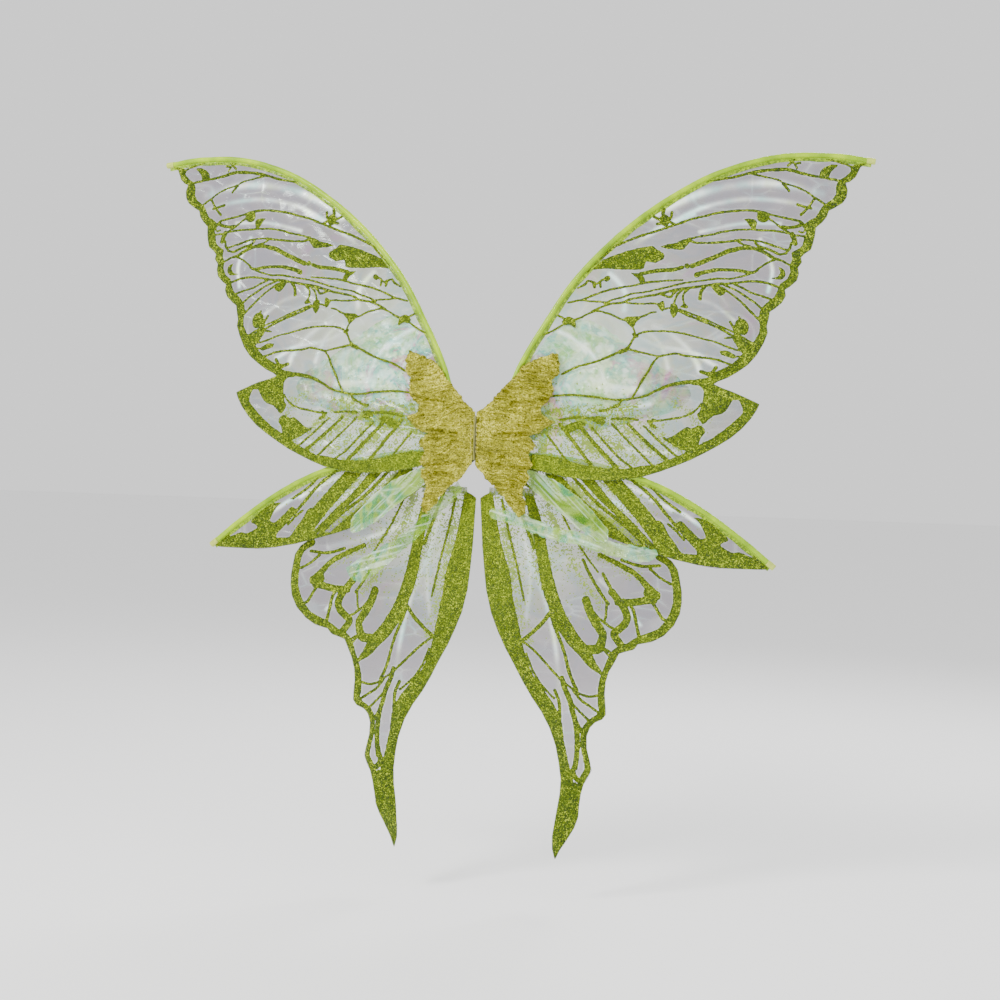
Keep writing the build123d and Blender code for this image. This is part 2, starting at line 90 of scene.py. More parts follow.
# ---- the film pattern, (s, t) in mm in each layer's own plane -------------------
F_STROKES = [  # (widths mm, points mm)
    ((2.5,), [(384.1, 361.3), (406, 361.1), (424.4, 356.4), (442.8, 351.6), (452.6, 346.8)]),
    ((2.2, 3.9, 2.7), [(273.3, 326.6), (290.4, 329.4), (308.7, 332.9), (327, 338.3), (345.3, 341.7), (369.7,
        343.4), (388.1, 339.4), (402.8, 335.9), (418.7, 333.6), (437.1, 330.2)]),
    ((2.3,), [(329.5, 337), (345.5, 333.6), (361.4, 330.1), (367.6, 326.4), (382.4, 321.7), (395.9, 315.6),
        (407, 308.3), (420.5, 299.8)]),
    ((3.2,), [(367.6, 325.2), (375.1, 316.5)]),
    ((3,), [(385.2, 299.1), (393.8, 296.8), (402.4, 294.5)]),
    ((3,), [(405.8, 306.4), (398.7, 295.6), (390.3, 286.7)]),
    ((2.5,), [(373.1, 358), (376.9, 351.7)]),
    ((2.7,), [(382.8, 361.9), (380.5, 355.6)]),
    ((2.5,), [(387.9, 351.9), (381.8, 350.6)]),
    ((2.5,), [(384.4, 345.6), (380.6, 351.8)]),
    ((2.5,), [(373.3, 348.5), (379.3, 353)]),
    ((2.7,), [(155, 238.1), (167.1, 244.6), (181.7, 251.2), (193.9, 256.5), (212.2, 262.5), (228, 268.5),
        (242.6, 273.8), (257.2, 279.1), (270.6, 282.5), (286.5, 286.6), (303.6, 289.4), (321.9, 291), (336.6,
        290.1), (346.4, 288.4), (358.7, 284.8), (374.6, 281.4), (389.3, 277.9), (396.7, 271.8)]),
    ((3.7,), [(222.5, 290.4), (221.4, 284.7), (222.8, 278.4)]),
    ((3.2,), [(232.4, 286.8), (231.4, 281.1), (226.5, 277.2)]),
    ((3,), [(210.4, 281.3), (216.7, 277.7), (222.9, 275.9)]),
    ((3,), [(214.4, 272), (220.5, 273.3)]),
    ((3,), [(236.5, 271.8), (229, 276)]),
    ((2.7,), [(226.8, 267.2), (224.1, 274.7)]),
    ((2.5,), [(252.9, 253.9), (267.6, 257.3), (282.2, 260.2), (294.4, 263.5), (310.2, 266), (328.5, 266.7),
        (346.9, 265.8), (362.7, 264.9), (375, 262.7), (386, 260.4), (399.4, 259.4)]),
    ((2.5,), [(347.7, 283.4), (355.1, 278.5), (361.3, 273.6), (367.5, 268.8), (377.4, 262.7)]),
    ((3.9,), [(367.5, 270.6), (378.5, 270.2), (389.4, 272.9)]),
    ((2.5,), [(388.3, 265.4), (393.2, 264.3), (395.5, 268.7), (393, 272.4)]),
    ((5.7,), [(379.9, 261.5), (382.4, 255.3), (383.7, 250.3)]),
    ((2.7,), [(378.9, 250.2), (376.6, 242.7), (371.8, 237.6)]),
    ((2.3,), [(107.7, 170.7), (122.3, 174.4), (134.7, 173.2), (147, 172.8), (158.1, 171.8)]),
    ((2.3,), [(126, 175.5), (136.9, 180.1), (146.7, 184.1), (158.9, 188.1), (173.5, 191.5), (185.8, 193.7),
        (195.5, 196.4), (207.7, 199.2), (219.9, 200.3), (234.6, 201.6), (248.1, 202.5)]),
    ((2.3,), [(152, 170.4), (162.9, 175.7), (173.9, 179), (186, 183.7), (201.9, 186.5), (214.1, 189.3),
        (229.9, 193.4), (244.5, 197.5), (259.1, 200.3), (275, 202.5), (287.2, 204.6), (295.7, 205.2), (305.5,
        205), (317.6, 207.8), (327.3, 210.5), (334.5, 213.8), (341.7, 219.5), (351.3, 226), (361, 229.5)]),
    ((2.5, 3.2, 2.5), [(137.5, 160.7), (147.2, 165.3), (159.4, 170), (174.1, 172.2), (183.8, 176.8), (198.4,
        180.2), (214.3, 183.1), (224, 185.8), (238.6, 189.9), (254.4, 192.7), (269.1, 194.9), (278.8, 196.4),
        (293.4, 198.5), (303.2, 198.8), (315.3, 200.3), (332.3, 202.5), (348.2, 201), (360.4, 197.5), (370.2,
        195.3)]),
    ((2.3,), [(72, 128.6), (84.2, 132.7), (93.9, 137.9), (102.3, 143.7)]),
    ((2.5,), [(95.8, 154.8), (104.6, 150.6)]),
    ((2.3,), [(116.9, 149.7), (125.4, 153.6), (135.1, 158.8), (143.7, 161.5), (153.6, 159.2), (162.2, 156.9),
        (172.2, 152.2), (179.6, 149.9)]),
    ((2.3,), [(194.2, 154), (202.7, 157.3), (210, 161.2), (216.1, 161.9)]),
    ((2.3,), [(185.9, 145), (189.7, 138.9), (191.7, 132.8)]),
    ((3.2,), [(189.3, 133.9), (193.6, 131.6)]),
    ((2.3,), [(192.4, 132.8), (199.6, 136), (211.8, 138.2), (227.7, 138.6), (246, 137.2), (260.8, 133.8),
        (274.3, 129.8), (289, 126.4), (301.3, 121.8), (313.5, 117.7), (326.9, 115)]),
    ((2.6,), [(192.4, 132.8), (187.7, 125.2), (184.2, 118.9), (178.2, 113.2)]),
    ((4.2,), [(180.6, 113.9), (173.4, 111.2)]),
    ((2.5,), [(178.2, 113.2), (169.7, 109.9), (158.8, 104.6), (146.7, 99.4), (134.6, 95.3), (122.4, 91.9),
        (112.7, 87.3), (103.1, 82.1)]),
    ((2.5,), [(181.8, 115.1), (192.9, 112.9), (204, 110.7), (216.3, 107.9), (221.2, 106.8)]),
    ((2.5,), [(221.2, 106.8), (232.1, 109.5), (241.8, 111), (251.6, 108.8), (265.1, 107.3), (278.5, 106.4),
        (293.1, 104.3), (305.4, 100.2), (317.6, 97.5)]),
    ((2.6,), [(220, 106.8), (214.1, 98.6), (209.4, 89.8), (204.7, 82.2), (198.9, 72.2), (195.4, 64.7), (189.6,
        54.7)]),
    ((2.5, 2.5, 4.9), [(91.6, 54.6), (113.7, 56.4), (132.1, 55.6), (148.1, 54.2), (162.8, 52.1), (177.5,
        51.9), (190.9, 54.1), (205.4, 57.6), (217.4, 64), (225.9, 68), (235.5, 71.9), (247.6, 74.7), (259.8,
        76.2), (271.9, 76.6)]),
    ((2.7,), [(177.5, 51.9), (172.8, 45.6), (165.5, 42.3), (158.3, 39), (151, 37.6)]),
    ((5.5, 4.9, 3.2), [(258.7, 220.2), (268.4, 224.2), (276.8, 228.1), (286.5, 232.1), (295, 236), (302.2,
        239.3), (310.8, 241.3), (319.3, 243.4), (329, 243.6), (337.6, 241.9), (348.7, 237.1), (358.5, 231.1),
        (364.7, 229.4)]),
    ((2.6,), [(363.4, 230), (370.8, 227), (380.6, 221.6)]),
    ((2.6,), [(253, 252.7), (261.6, 249.7), (273.9, 249.3), (289.8, 250.5), (304.4, 251.8), (314.2, 252.7)]),
    ((2.5,), [(310.5, 253.2), (322.7, 253.7), (337.4, 252.5), (347.2, 250.2), (359.5, 246.1), (372.9, 242)]),
    ((2.5,), [(314.2, 251.4), (320.4, 247.8), (329, 245.5)]),
    ((3.1,), [(335, 250.6), (338.7, 246.3), (347.3, 243.4), (357.1, 239.8), (364.5, 236.2), (373, 237.7)]),
    ((4.4,), [(196.4, 208.9), (207.4, 211.6), (219.6, 213.8), (231.8, 214.7), (239.2, 216.1), (246.5,
        218.1)]),
    ((5.4,), [(252.5, 220.4), (253, 219.9)]),
    ((6.6,), [(264.8, 209.1), (265.5, 209.4)]),
    ((4.9, 3.2), [(265, 209.1), (272.3, 212.4), (280.8, 213.9), (289.3, 215.9), (299.1, 216.1), (311.3,
        215.8), (323.6, 214.2), (332.1, 213.1), (338.2, 215.7)]),
    ((2.5,), [(119.4, 189.7), (127.9, 194.3), (131.5, 198.7), (136.4, 197.6), (142.7, 195.2), (147.5, 199.1),
        (152.3, 201.7)]),
    ((6.1,), [(154.2, 201.7), (155.4, 202.3)]),
    ((3.7,), [(138.9, 196.4), (139.7, 191.4)]),
    ((3.2,), [(146.3, 196.5), (147.1, 191.6)]),
    ((2.5,), [(221.6, 183.9), (232.7, 181), (236.3, 184.8), (241.1, 189.3)]),
    ((2.6,), [(249.6, 192), (243.6, 186.2), (240, 181.2), (237.8, 172.4)]),
    ((2.5,), [(255.7, 192.1), (250.3, 187), (248.6, 181.4), (250, 172.7)]),
    ((2.3,), [(179, 172.3), (196.2, 171.7), (210.9, 172.4), (223.1, 172.1)]),
    ((2.5,), [(224.5, 165.9), (230.6, 167.2), (235.5, 167.4)]),
    ((3.7,), [(274, 193.8), (270.4, 188.1), (269.4, 179.3)]),
    ((2.5,), [(298.4, 192.4), (312.1, 182.8), (322, 174.3), (330.7, 165.8), (339.4, 157.3), (345.6, 151.3)]),
    ((2.5,), [(298.3, 197.4), (314.3, 190.3), (325.5, 183.1), (336.6, 175.9), (347.7, 166.2)]),
    ((2.5,), [(311.7, 198.3), (322.8, 193), (332.6, 188.2), (343.7, 184.7), (358.4, 180.1)]),
    ((3.2, 2.5), [(240.4, 166.2), (257.7, 157.9), (270.1, 153.2), (284.8, 147.4), (297.2, 141.5), (308.2,
        135.5)]),
    ((2.1,), [(245.3, 166.3), (257.7, 161.6), (270, 157), (284.8, 151.1), (297.1, 145.2), (308.1, 140.5),
        (319.2, 134.6), (335.2, 126.3)]),
    ((3.1,), [(306.7, 151.6), (313, 141.9)]),
    ((2.7,), [(317.5, 157.7), (320, 153.2)]),
    ((2.5,), [(301, 131.4), (310.7, 132.5)]),
    ((2.2,), [(310, 109.6), (321, 109.3)]),
    ((3.9,), [(272.8, 89.5), (280.2, 87.3), (286.2, 88.6), (290.9, 94.9)]),
    ((3,), [(279, 86.6), (286.4, 81.9)]),
    ((2.5,), [(273.8, 49.5), (269.1, 43.2), (260.7, 36.8), (251.1, 32.9), (236.6, 30), (222, 27.8), (209.9,
        26.9)]),
    ((3.9,), [(215.9, 28.3), (213.6, 23.3), (218.6, 19.7)]),
    ((3,), [(102.4, 25.2), (120.7, 28.8), (139, 28.6), (156.1, 29.1)]),
    ((2.5,), [(165.9, 28.1), (183, 29.2), (197.7, 27.8)]),
    ((3,), [(229.9, 6.5), (239.8, 0.7), (249.6, -4.6), (261.8, -7.9)]),
    ((2.7,), [(141.9, 16.4), (151.9, 5.6), (162, -5.2), (172.1, -16), (182.1, -24.3), (192, -31.3)]),
    ((4.2,), [(127.1, 18.5), (142.3, 0.4), (154.9, -12.8), (167.5, -25.9), (175.1, -34.3)]),
    ((2.7,), [(166.1, 22), (181.2, 6.4), (196.2, -7.9), (211.2, -22.2), (221.2, -30.5)]),
    ((3.7,), [(185.6, 22.5), (203.2, 5.8), (219.4, -8.5), (235.5, -21.5)]),
    ((2.7,), [(205.2, 20.6), (220.2, 6.2), (235.1, -6.8), (250, -18.7)]),
    ((3.7,), [(102.6, 20.3), (117.9, 1), (133.1, -18.3), (145.8, -35.1)]),
    ((2.5,), [(88.3, 5.1), (103.6, -14.2), (118.9, -33.4)]),
]
# paths of painted highlight streaks on the film, (widths mm, points mm)
F_SHEEN = [
    ((9.8,), [(208, 280.6), (254.1, 306.7), (302.8, 321.5), (357.9, 325), (415.4, 313.5)]),
    ((6.1,), [(227.9, 272.2), (272.8, 294.5), (327.7, 305.6), (386.4, 300.4), (428, 288.7)]),
    ((6.1,), [(189.2, 247.6), (218.2, 267), (259.5, 285.4)]),
    ((4.9,), [(267.4, 263), (316.1, 274), (365, 275)]),
    ((7.4,), [(158.3, 208.1), (170.9, 195.8), (178.7, 181), (176.8, 163.5)]),
    ((6.1,), [(202, 139.2), (215.7, 129.6), (225.9, 115), (232.5, 92.8)]),
    ((7.4,), [(214.1, 144.5), (233.9, 136.2), (251.3, 121.8), (265.2, 103.6), (271.6, 88.9)]),
    ((6.1,), [(96.4, 135.5), (113.9, 127.2), (131.7, 110.2)]),
    ((9.8,), [(103.4, 72.2), (137.6, 75.6), (169.7, 66.5), (199.1, 64.8)]),
    ((6.1,), [(96.9, 44.8), (138.8, 36), (175.4, 39.5), (211.8, 47.9)]),
    ((4.9,), [(117.7, 124.8), (136.6, 110.3), (152, 85.9), (157.6, 61.2)]),
    ((6.1,), [(197.3, 129.2), (222.1, 119.8), (258.8, 113.3), (290.9, 96.8)]),
    ((4.9,), [(269.5, 178.1), (289.2, 171.1), (311.5, 154.2)]),
    ((4.9,), [(341, 254.5), (356.3, 219.9), (352.1, 189.9)]),
    ((4.9,), [(152.1, 1.9), (201.2, -11.5), (244.9, -10.2)]),
]
F_DUST = [
    ((16,), [(68.7, 4.5), (85.5, 16.1), (104.9, 24), (126.8, 27.1), (151.3, 26.5), (173.3, 27.1), (200.1,
        29.1)]),
    ((11,), [(87.4, 34.7), (120.4, 38), (157.1, 37.8), (199.6, 45.1)]),
    ((11,), [(109.9, 20.5), (132.5, 1.4), (157.6, -20.1), (177.5, -34.2)]),
    ((9.8,), [(139.3, 21.3), (166.8, -0.1), (196.7, -23.9)]),
    ((9.8,), [(175.9, 22.2), (205.8, -1.5), (230.6, -20.4)]),
    ((8.6,), [(210, 23.2), (234.8, 4.2), (254.6, -10)]),
    ((9.8,), [(243.4, 48.7), (260.7, 36.8), (273.3, 17.5)]),
]
F_BLOBS = [
    [(410.2, 334.1), (413.7, 343.6), (422.1, 349.4), (434.3, 350.9), (430.7, 345.8), (425.9, 341.3), (422.4,
        333.7)],
    [(217.8, 280.8), (222.7, 284.7), (227.6, 282.3), (230.3, 276), (226.7, 269.7), (220.6, 270.8), (217.3,
        275.8)],
    [(319.7, 280.3), (331.9, 280.6), (336.9, 275.7), (333.4, 264.9), (327.2, 272.3), (323.4, 277.3)],
    [(337.8, 290.1), (347.6, 289), (352, 284.7), (349.1, 277.1), (340.5, 276.4), (336.1, 281.9)],
    [(217.6, 243.8), (228.5, 247.1), (238.3, 249.2), (245.6, 252.8), (254.1, 254.6), (255.4, 250.8), (250.7,
        243.8), (245.9, 240), (236.1, 240.4), (226.2, 241.5)],
    [(136, 212.6), (145.5, 222.8), (155.2, 228.7), (167.4, 233.3), (177.2, 237.3), (189.4, 240.7), (200.4,
        243.4), (209, 244.5), (213.9, 241.8), (217.7, 239.4), (221.4, 237), (225.2, 232.7), (222.9, 227.6),
        (218.1, 225), (213.2, 223), (207, 223.8), (202.7, 224.3), (201, 220.3), (198.7, 215.2), (190.1,
        214.4), (176.6, 213.5), (161.8, 213.8), (149.5, 214.1)],
    [(125, 208.6), (130.9, 215.6), (139.3, 224.6), (147.7, 232.9), (156.1, 240), (159.9, 238.2), (152.7,
        230.5), (144.3, 222.8), (135.9, 213.9), (131.2, 208.7)],
    [(182.8, 210.5), (190.2, 210), (197.6, 208.3), (201.5, 201.5), (199.2, 195.8), (196.1, 196.4), (192.3,
        202.6), (187.9, 206.2)],
    [(100.4, 146.8), (107, 153.2), (116.3, 150.9), (118.5, 139.7), (111, 143.3), (103.6, 142.5)],
    [(175.9, 152.3), (181.9, 155.5), (197.9, 155.3), (192.5, 148.9), (188.4, 141.4), (184.1, 143.8)],
    [(233.5, 172.9), (239.6, 173.1), (243.5, 166.3), (241.2, 158.8), (237, 155), (233.2, 162.3)],
    [(245.2, 168.8), (250.6, 174.6), (255.6, 168.4), (250.8, 167.1)],
    [(217.1, 170.7), (224.2, 176.4), (226.9, 169.7), (224.6, 162.8), (220.3, 165.1)],
    [(281.3, 195.8), (292.2, 196), (301.5, 191.3), (295, 183), (286.9, 188.4)],
    [(363, 221.9), (369.7, 218.3), (372.9, 212.7), (370.6, 207.1), (366.4, 204.5), (356, 206.4), (362.6,
        208.8), (366.2, 213.8)],
    [(310.5, 143.7), (314.5, 154.3), (322.4, 155.7), (329.2, 149.7), (329.4, 141), (325.3, 136), (316.7,
        136.4), (311.8, 138.1)],
    [(307.6, 136.8), (316.8, 134.5), (326.6, 128.6), (335.2, 126.9), (340.1, 121.5), (331.8, 112.6), (322.1,
        113.6), (315.9, 121.5), (310.8, 128.8)],
    [(294.7, 116), (303.8, 116.3), (312.4, 112.1), (316.7, 108.5), (311.3, 106.6), (302.8, 108.8), (296.6,
        111.1)],
    [(259.7, 77.5), (271.8, 80.9), (279.1, 81.1), (286.3, 84.3), (294.9, 81.5), (291.4, 74.6), (298.8, 69.2),
        (311.1, 64.6), (313.6, 59.2), (310.1, 51.1), (305.5, 43.6), (299.5, 37.9), (289.9, 35.2), (282.8,
        29.5), (276.8, 24.4), (271.8, 30.4), (269.2, 36.5), (272.7, 42.1), (274.9, 52), (276.5, 64.3), (272,
        71), (262.3, 72.6)],
    [(231.1, 5.9), (242, 10.5), (250.3, 16.9), (257.5, 20.8), (263.6, 19.7), (270.8, 23), (276.9, 21.3),
        (279.5, 15.2), (274.8, 7.8), (272.6, -0.9), (275.2, -9.4), (266.9, -18.2), (259.6, -14.7), (257,
        -7.4), (249.6, -4), (239.7, 1.9)],
    [(102.8, 14.1), (114.8, 21.8), (126.9, 24.6), (134.4, 21.1), (124.8, 14.7), (112.7, 9.4)],
    [(141.6, 25), (151.3, 27.7), (158.7, 24.2), (151.5, 20.4)],
]
H_STROKES = [  # (widths mm, points mm)
    ((6.1,), [(73.2, -42.1), (98.9, -76.9), (129.1, -104.1), (163.9, -121.3)]),
    ((14,), [(92.9, -41.5), (125.8, -76), (153.4, -98.4), (188.4, -126.6)]),
    ((3.7,), [(114.9, -40.8), (150.3, -76.5), (184.1, -102.3), (212.9, -129.4)]),
    ((4.9,), [(139.6, -45), (167.5, -77.2), (195.1, -103.2), (221.4, -130.3)]),
    ((18,), [(164, -44.3), (191.8, -74), (214.4, -100.1), (237.2, -132.3)]),
    ((3.7,), [(191, -45.9), (215.9, -65.9), (232.2, -84.9), (247.3, -101.5)]),
    ((4.3,), [(53.6, -47.5), (79.1, -73.8), (106.8, -95), (141.7, -113.5)]),
    ((4.9, 6.1, 11, 12, 11), [(104.1, -87.7), (147.7, -110.8), (190.9, -126.5), (221.5, -132.8), (251.9,
        -138.4), (282.3, -141.7), (312.5, -143.7), (339, -144.6), (358.2, -146.4)]),
    ((2.7,), [(236.3, -98.2), (246.2, -106.4), (256.2, -117)]),
    ((8.6,), [(63, -32.5), (88.6, -63.7), (118.8, -87.3), (151.3, -108.3)]),
    ((7.4,), [(127.2, -40.5), (157.5, -71.4), (187.6, -97.3), (207.7, -118.6)]),
    ((3.1,), [(213.1, -52.6), (230.6, -69.2), (250.4, -83.2)]),
]
# paths of painted highlight streaks on the film, (widths mm, points mm)
H_SHEEN = [
    ((8.6,), [(65.3, -27.5), (115.2, -48.2), (164.8, -71.2), (202.1, -94.4)]),
    ((6.1,), [(102.2, -26.5), (151.8, -42.2), (201.1, -60.3), (240.6, -81)]),
    ((4.9,), [(213.6, -69.7), (250.4, -83.2), (282.4, -104)]),
]
H_DUST = [
    ((15,), [(65.8, -42.3), (94, -78.2), (129.2, -106.5), (168.9, -126)]),
    ((12,), [(102.7, -41.2), (140.6, -79.3), (183.1, -109.7), (215.4, -133)]),
    ((12,), [(151.8, -44.6), (189.5, -80.2), (222.1, -113.3), (247, -134.4)]),
]
H_BLOBS = [
    [(266.3, -89.4), (277.2, -90.2), (289.5, -95.9), (300.6, -105.3), (309.9, -115.3), (302.2, -119.8),
        (301.1, -122.8), (308.4, -127.5), (315.7, -130.8), (322.9, -129.4), (331.4, -132.7), (339.9, -135.5),
        (338.5, -127.7), (344.6, -128.7), (353.1, -135.6), (363, -146.2), (353.5, -148.9), (324.7, -149.9),
        (294.5, -148.5), (272.6, -143.2), (272.3, -131.1), (263.6, -121.7), (253.6, -111), (246.1, -102.2),
        (247.1, -96), (253.1, -94.6), (260.6, -101.7), (268.1, -108.8), (275.5, -114.6), (282.1, -113.2),
        (278.8, -104.2), (273.7, -95.2)],
    [(220.3, -93.9), (228.9, -96), (236.6, -109.2), (245.4, -121), (254.2, -132.9), (264, -136.8), (273.6,
        -135.9), (276.3, -143.1), (251.9, -139.1), (232.4, -133.6), (221.2, -124.3), (212.2, -106.3)],
]
T_STROKES = [  # (widths mm, points mm)
    ((11, 11, 11, 9.8, 9.8, 8.6, 8.6, 7.3, 7.3, 8.6, 9.8), [(226.5, -138), (237.7, -144.9), (244.6, -155.7),
        (248.9, -178.9), (248.8, -198.5), (241.9, -217.2), (228.9, -232.5), (204.6, -242.8), (191.3, -251.4),
        (175.5, -259.5), (168.5, -273.4), (162.7, -288.5), (159.3, -303.5), (159.2, -323.3), (160.1, -335.7),
        (150.4, -344.8), (140.8, -355.2), (138.7, -371.5), (141.6, -388.8), (144.4, -403.6), (138.5, -416.3),
        (133.9, -431.5), (130.6, -451.6), (128.5, -466.7), (122.7, -483.3), (114.3, -497.5), (107.1,
        -511.7)]),
    ((15, 16, 21, 27, 32, 33, 32, 24, 20, 20, 24, 27, 17, 15, 15, 17, 20, 15, 9.8), [(7, -44.1), (11.4,
        -76.2), (14.6, -107.1), (19, -138), (25.9, -168.8), (30.3, -199.7), (37.2, -230.5), (45.3, -255.1),
        (54.5, -275.9), (64.9, -297.8), (79.1, -317.1), (90.7, -335.2), (99.9, -356), (106.6, -376.8), (112,
        -397.7), (116.2, -420), (115.6, -445), (111.2, -470.2), (108, -495.4), (107.2, -512.9)]),
    ((11, 13, 16, 16, 17, 16, 12, 4.9, 3.7), [(63.6, -69.6), (75.7, -111.2), (86.9, -166.5), (96.2, -197.1),
        (106.7, -221.5), (120.8, -243.2), (136.1, -259.9), (146.3, -274.3), (157.7, -285), (167.8, -295.7)]),
    ((11,), [(136, -257.4), (145.9, -256.4), (155.7, -254.1)]),
    ((2.7,), [(30.1, -75.6), (39.7, -116.2), (50.6, -156.7), (60.2, -198.5)]),
    ((2.4,), [(97.1, -73.5), (115.3, -109.9), (135.8, -141.2), (151, -160.4)]),
    ((3.7,), [(42.2, -57.9), (58, -99.4), (71.2, -133.6)]),
    ((4.4,), [(49, -256.2), (60.1, -248.2), (72.3, -237.8), (83.2, -226.2), (92.9, -213.4), (98.9, -205.7)]),
    ((2.9,), [(60.1, -250.7), (72.8, -260.1), (85.5, -272), (98.2, -285.1), (109.7, -295.8), (122.3, -305.2),
        (132.4, -312.2), (144.8, -315.3), (155.9, -312.3)]),
    ((3.7,), [(94.2, -215.8), (100.8, -234.1), (107.3, -248.7), (112.7, -264.6), (116.8, -280.6), (122.1,
        -295.3), (128.5, -307.4)]),
    ((2.7,), [(64.2, -265.5), (72.1, -285), (81.2, -299.6), (91.4, -310.3), (100.3, -318.6)]),
    ((6.1,), [(109.6, -293.3), (114.9, -308), (120.2, -320.2), (124.2, -334.9), (128.3, -349.6), (130.6,
        -369.4), (130.4, -388.1), (128.3, -404.4)]),
    ((2.9,), [(122.3, -305.2), (132.5, -318.4), (145.1, -327.7), (157.6, -335.8)]),
    ((2.9,), [(124, -325), (132.9, -334.5), (143, -344), (149.3, -348.6)]),
    ((4.9,), [(128.2, -347.1), (133.4, -355.6), (139.7, -361.5)]),
    ((3.7,), [(101.3, -308.6), (106.5, -320.8), (108.2, -339.4), (108.8, -364.3), (111.6, -380.3)]),
    ((6.1,), [(128.2, -401.9), (125.9, -409.5), (129.8, -416.8), (134.9, -421.5)]),
    ((6.1,), [(119.7, -407.3), (124, -432), (123.4, -459.5), (119, -484.8)]),
    ((4.9,), [(128.8, -425.6), (129.2, -444.2), (128.4, -463)]),
    ((8.6,), [(168.8, -184.4), (176.4, -194), (184, -203.6), (188, -215.7), (184.5, -224.5), (177.3, -231),
        (172.5, -236.1), (177.6, -244.5), (184, -252.9)]),
    ((3.7,), [(157.2, -162.7), (168.8, -183.2)]),
    ((9.8,), [(137, -195.5), (142.3, -210.1), (148.8, -222.3), (155.1, -230.6), (159, -239.1), (155.6,
        -250.4), (152.1, -256.8)]),
    ((2.9,), [(139.7, -201.6), (151.1, -214.7), (161.1, -223), (169.9, -228.8), (178.6, -230.9)]),
    ((2.9,), [(162.4, -198.2), (162.1, -213.1), (159.9, -221.8)]),
    ((8.6,), [(176.5, -196.5), (193.7, -196.4), (209.5, -193.3), (220.5, -192.3)]),
    ((3.1,), [(218.1, -194.8), (224.5, -204.4), (230.8, -214), (237, -217.4), (246.7, -213.4)]),
    ((3.7,), [(190, -195.9), (196.4, -208), (199.2, -220.2), (201.9, -232.4), (204.6, -242.2)]),
    ((4.9, 6.1, 6.1, 11), [(153, -139.4), (177.8, -150.8), (196.5, -161.2), (210.3, -174.2), (219.1,
        -184.9)]),
    ((11,), [(213, -183.9), (222.8, -187.3)]),
    ((3.1,), [(214.7, -154.4), (227.2, -165), (239.6, -171.9)]),
    ((3.7,), [(180.2, -144.6), (202.4, -151.1), (226.8, -150.2)]),
    ((3.7,), [(132.2, -146.3), (141.3, -164.5), (154.1, -185), (164.3, -199.4)]),
    ((2.7,), [(155.6, -250.4), (163.2, -258.8), (169.6, -268.4), (164.9, -278.5)]),
    ((2.7,), [(155.7, -254.1), (163.1, -255), (171.9, -262.1)]),
]
# paths of painted highlight streaks on the film, (widths mm, points mm)
T_SHEEN = [
    ((7.3,), [(27.6, -75.7), (77.9, -98.8), (140.4, -127.5), (202.2, -143.8)]),
    ((6.1,), [(66.6, -148.7), (86.3, -197.5), (101.4, -258.9), (107.8, -320.8)]),
    ((4.9,), [(153.7, -170.2), (178.9, -193.9), (204.2, -223.7)]),
    ((6.1,), [(53.1, -99.6), (66.9, -161.1), (63.3, -223.2)]),
]
T_DUST = [
    ((15,), [(27.3, -63.3), (36.2, -125), (47.5, -186.6), (63.8, -248.1)]),
    ((12,), [(52.3, -65), (71, -123.7), (89.8, -185), (113.2, -233.6)]),
    ((11,), [(84.8, -73.9), (105.7, -122.5), (129, -166.2), (154.4, -199.8)]),
    ((9.8,), [(128.1, -131.6), (165.5, -147.6), (202.8, -168.3)]),
]
T_BLOBS = [
    [(152, -251.8), (162.9, -243.9), (160.7, -256.4), (155.8, -259.1), (143.6, -262.1), (135, -264.9), (136,
        -255)],
]
F_EDGE = [(478, 357.3), (470.8, 352.1), (462.3, 348.2), (456.4, 335.6), (449.2, 329.2), (444.4, 327.8), (447,
    319.1), (445.9, 310.3), (441.2, 302.7), (431.5, 296.3), (424.3, 292.4), (422, 284.8), (416.1, 277.2),
    (408.9, 270.8), (407.9, 260.8), (405.6, 250.8), (403.3, 243.3), (396.1, 238.1), (391.3, 233.1), (392.7,
    226.9), (387.9, 220.5), (389.3, 213.1), (387, 204.3), (378.7, 196.7), (372.7, 192.8), (374, 185.4),
    (369.4, 176.6), (361, 169), (355, 165.1), (354, 157.7), (351.7, 147.7), (353.1, 139.1), (348.5, 126.6),
    (340.3, 111.6), (329.7, 99), (317.8, 90.1), (305.8, 82.4), (293.8, 77.1), (289, 74.2)]
F_LOBE = [(289, 74.2), (298.8, 69.9), (311, 65.9), (326.9, 59.5), (345.2, 51.4), (341.8, 43.9), (334.8, 32.7),
    (324.1, 20.2), (311.1, 8.8), (295.6, -1.5), (280.1, -10.5), (262.1, -20.2), (245.3, -27.4), (226.1,
    -35.3), (205.7, -42), (180.3, -46.4), (156, -48.3), (131.6, -47.2), (105.8, -44.3), (87.4, -40.5), (68.8,
    -36.1)]
F_BORDER_IN = [(448.9, 349.2), (450.2, 343), (444.3, 336.6), (434.6, 330.2), (432.3, 322.6), (432.5, 313.8),
    (427.7, 306.2), (418.1, 300.4), (413.4, 293.4), (408.6, 284.6), (399, 279.4), (391.8, 273), (396.8,
    265.6), (394.5, 258.1), (392.3, 248), (386.3, 242.9), (379.1, 239), (380.5, 230.3), (377, 222.8), (378.3,
    215.3), (374.8, 206.6), (366.5, 200.2), (363, 191.4), (360.7, 185.1), (354.7, 180), (346.4, 172.4),
    (342.8, 166.1), (340.6, 157.4), (343.2, 147.5), (342.2, 138.8), (337.5, 130.1), (329.2, 121.2), (320.9,
    111.1), (313.8, 102.9), (303.1, 95.9), (289.8, 89.3), (281.5, 83), (271.9, 79)]
F_LOBE_IN = [(312.5, 55.4), (319.7, 55), (322.9, 49.6), (324.9, 41), (320.2, 34.8), (310.7, 25.9), (300, 17),
    (288.1, 8.1), (276.1, 1.7), (266.6, -4.7), (254.6, -11.2), (237.9, -19), (219.8, -26.9), (201.7, -28.6),
    (179.9, -32.9), (153.1, -32.5), (128.5, -28.3), (103.9, -21.6), (85.4, -18.4), (68.2, -17.7)]
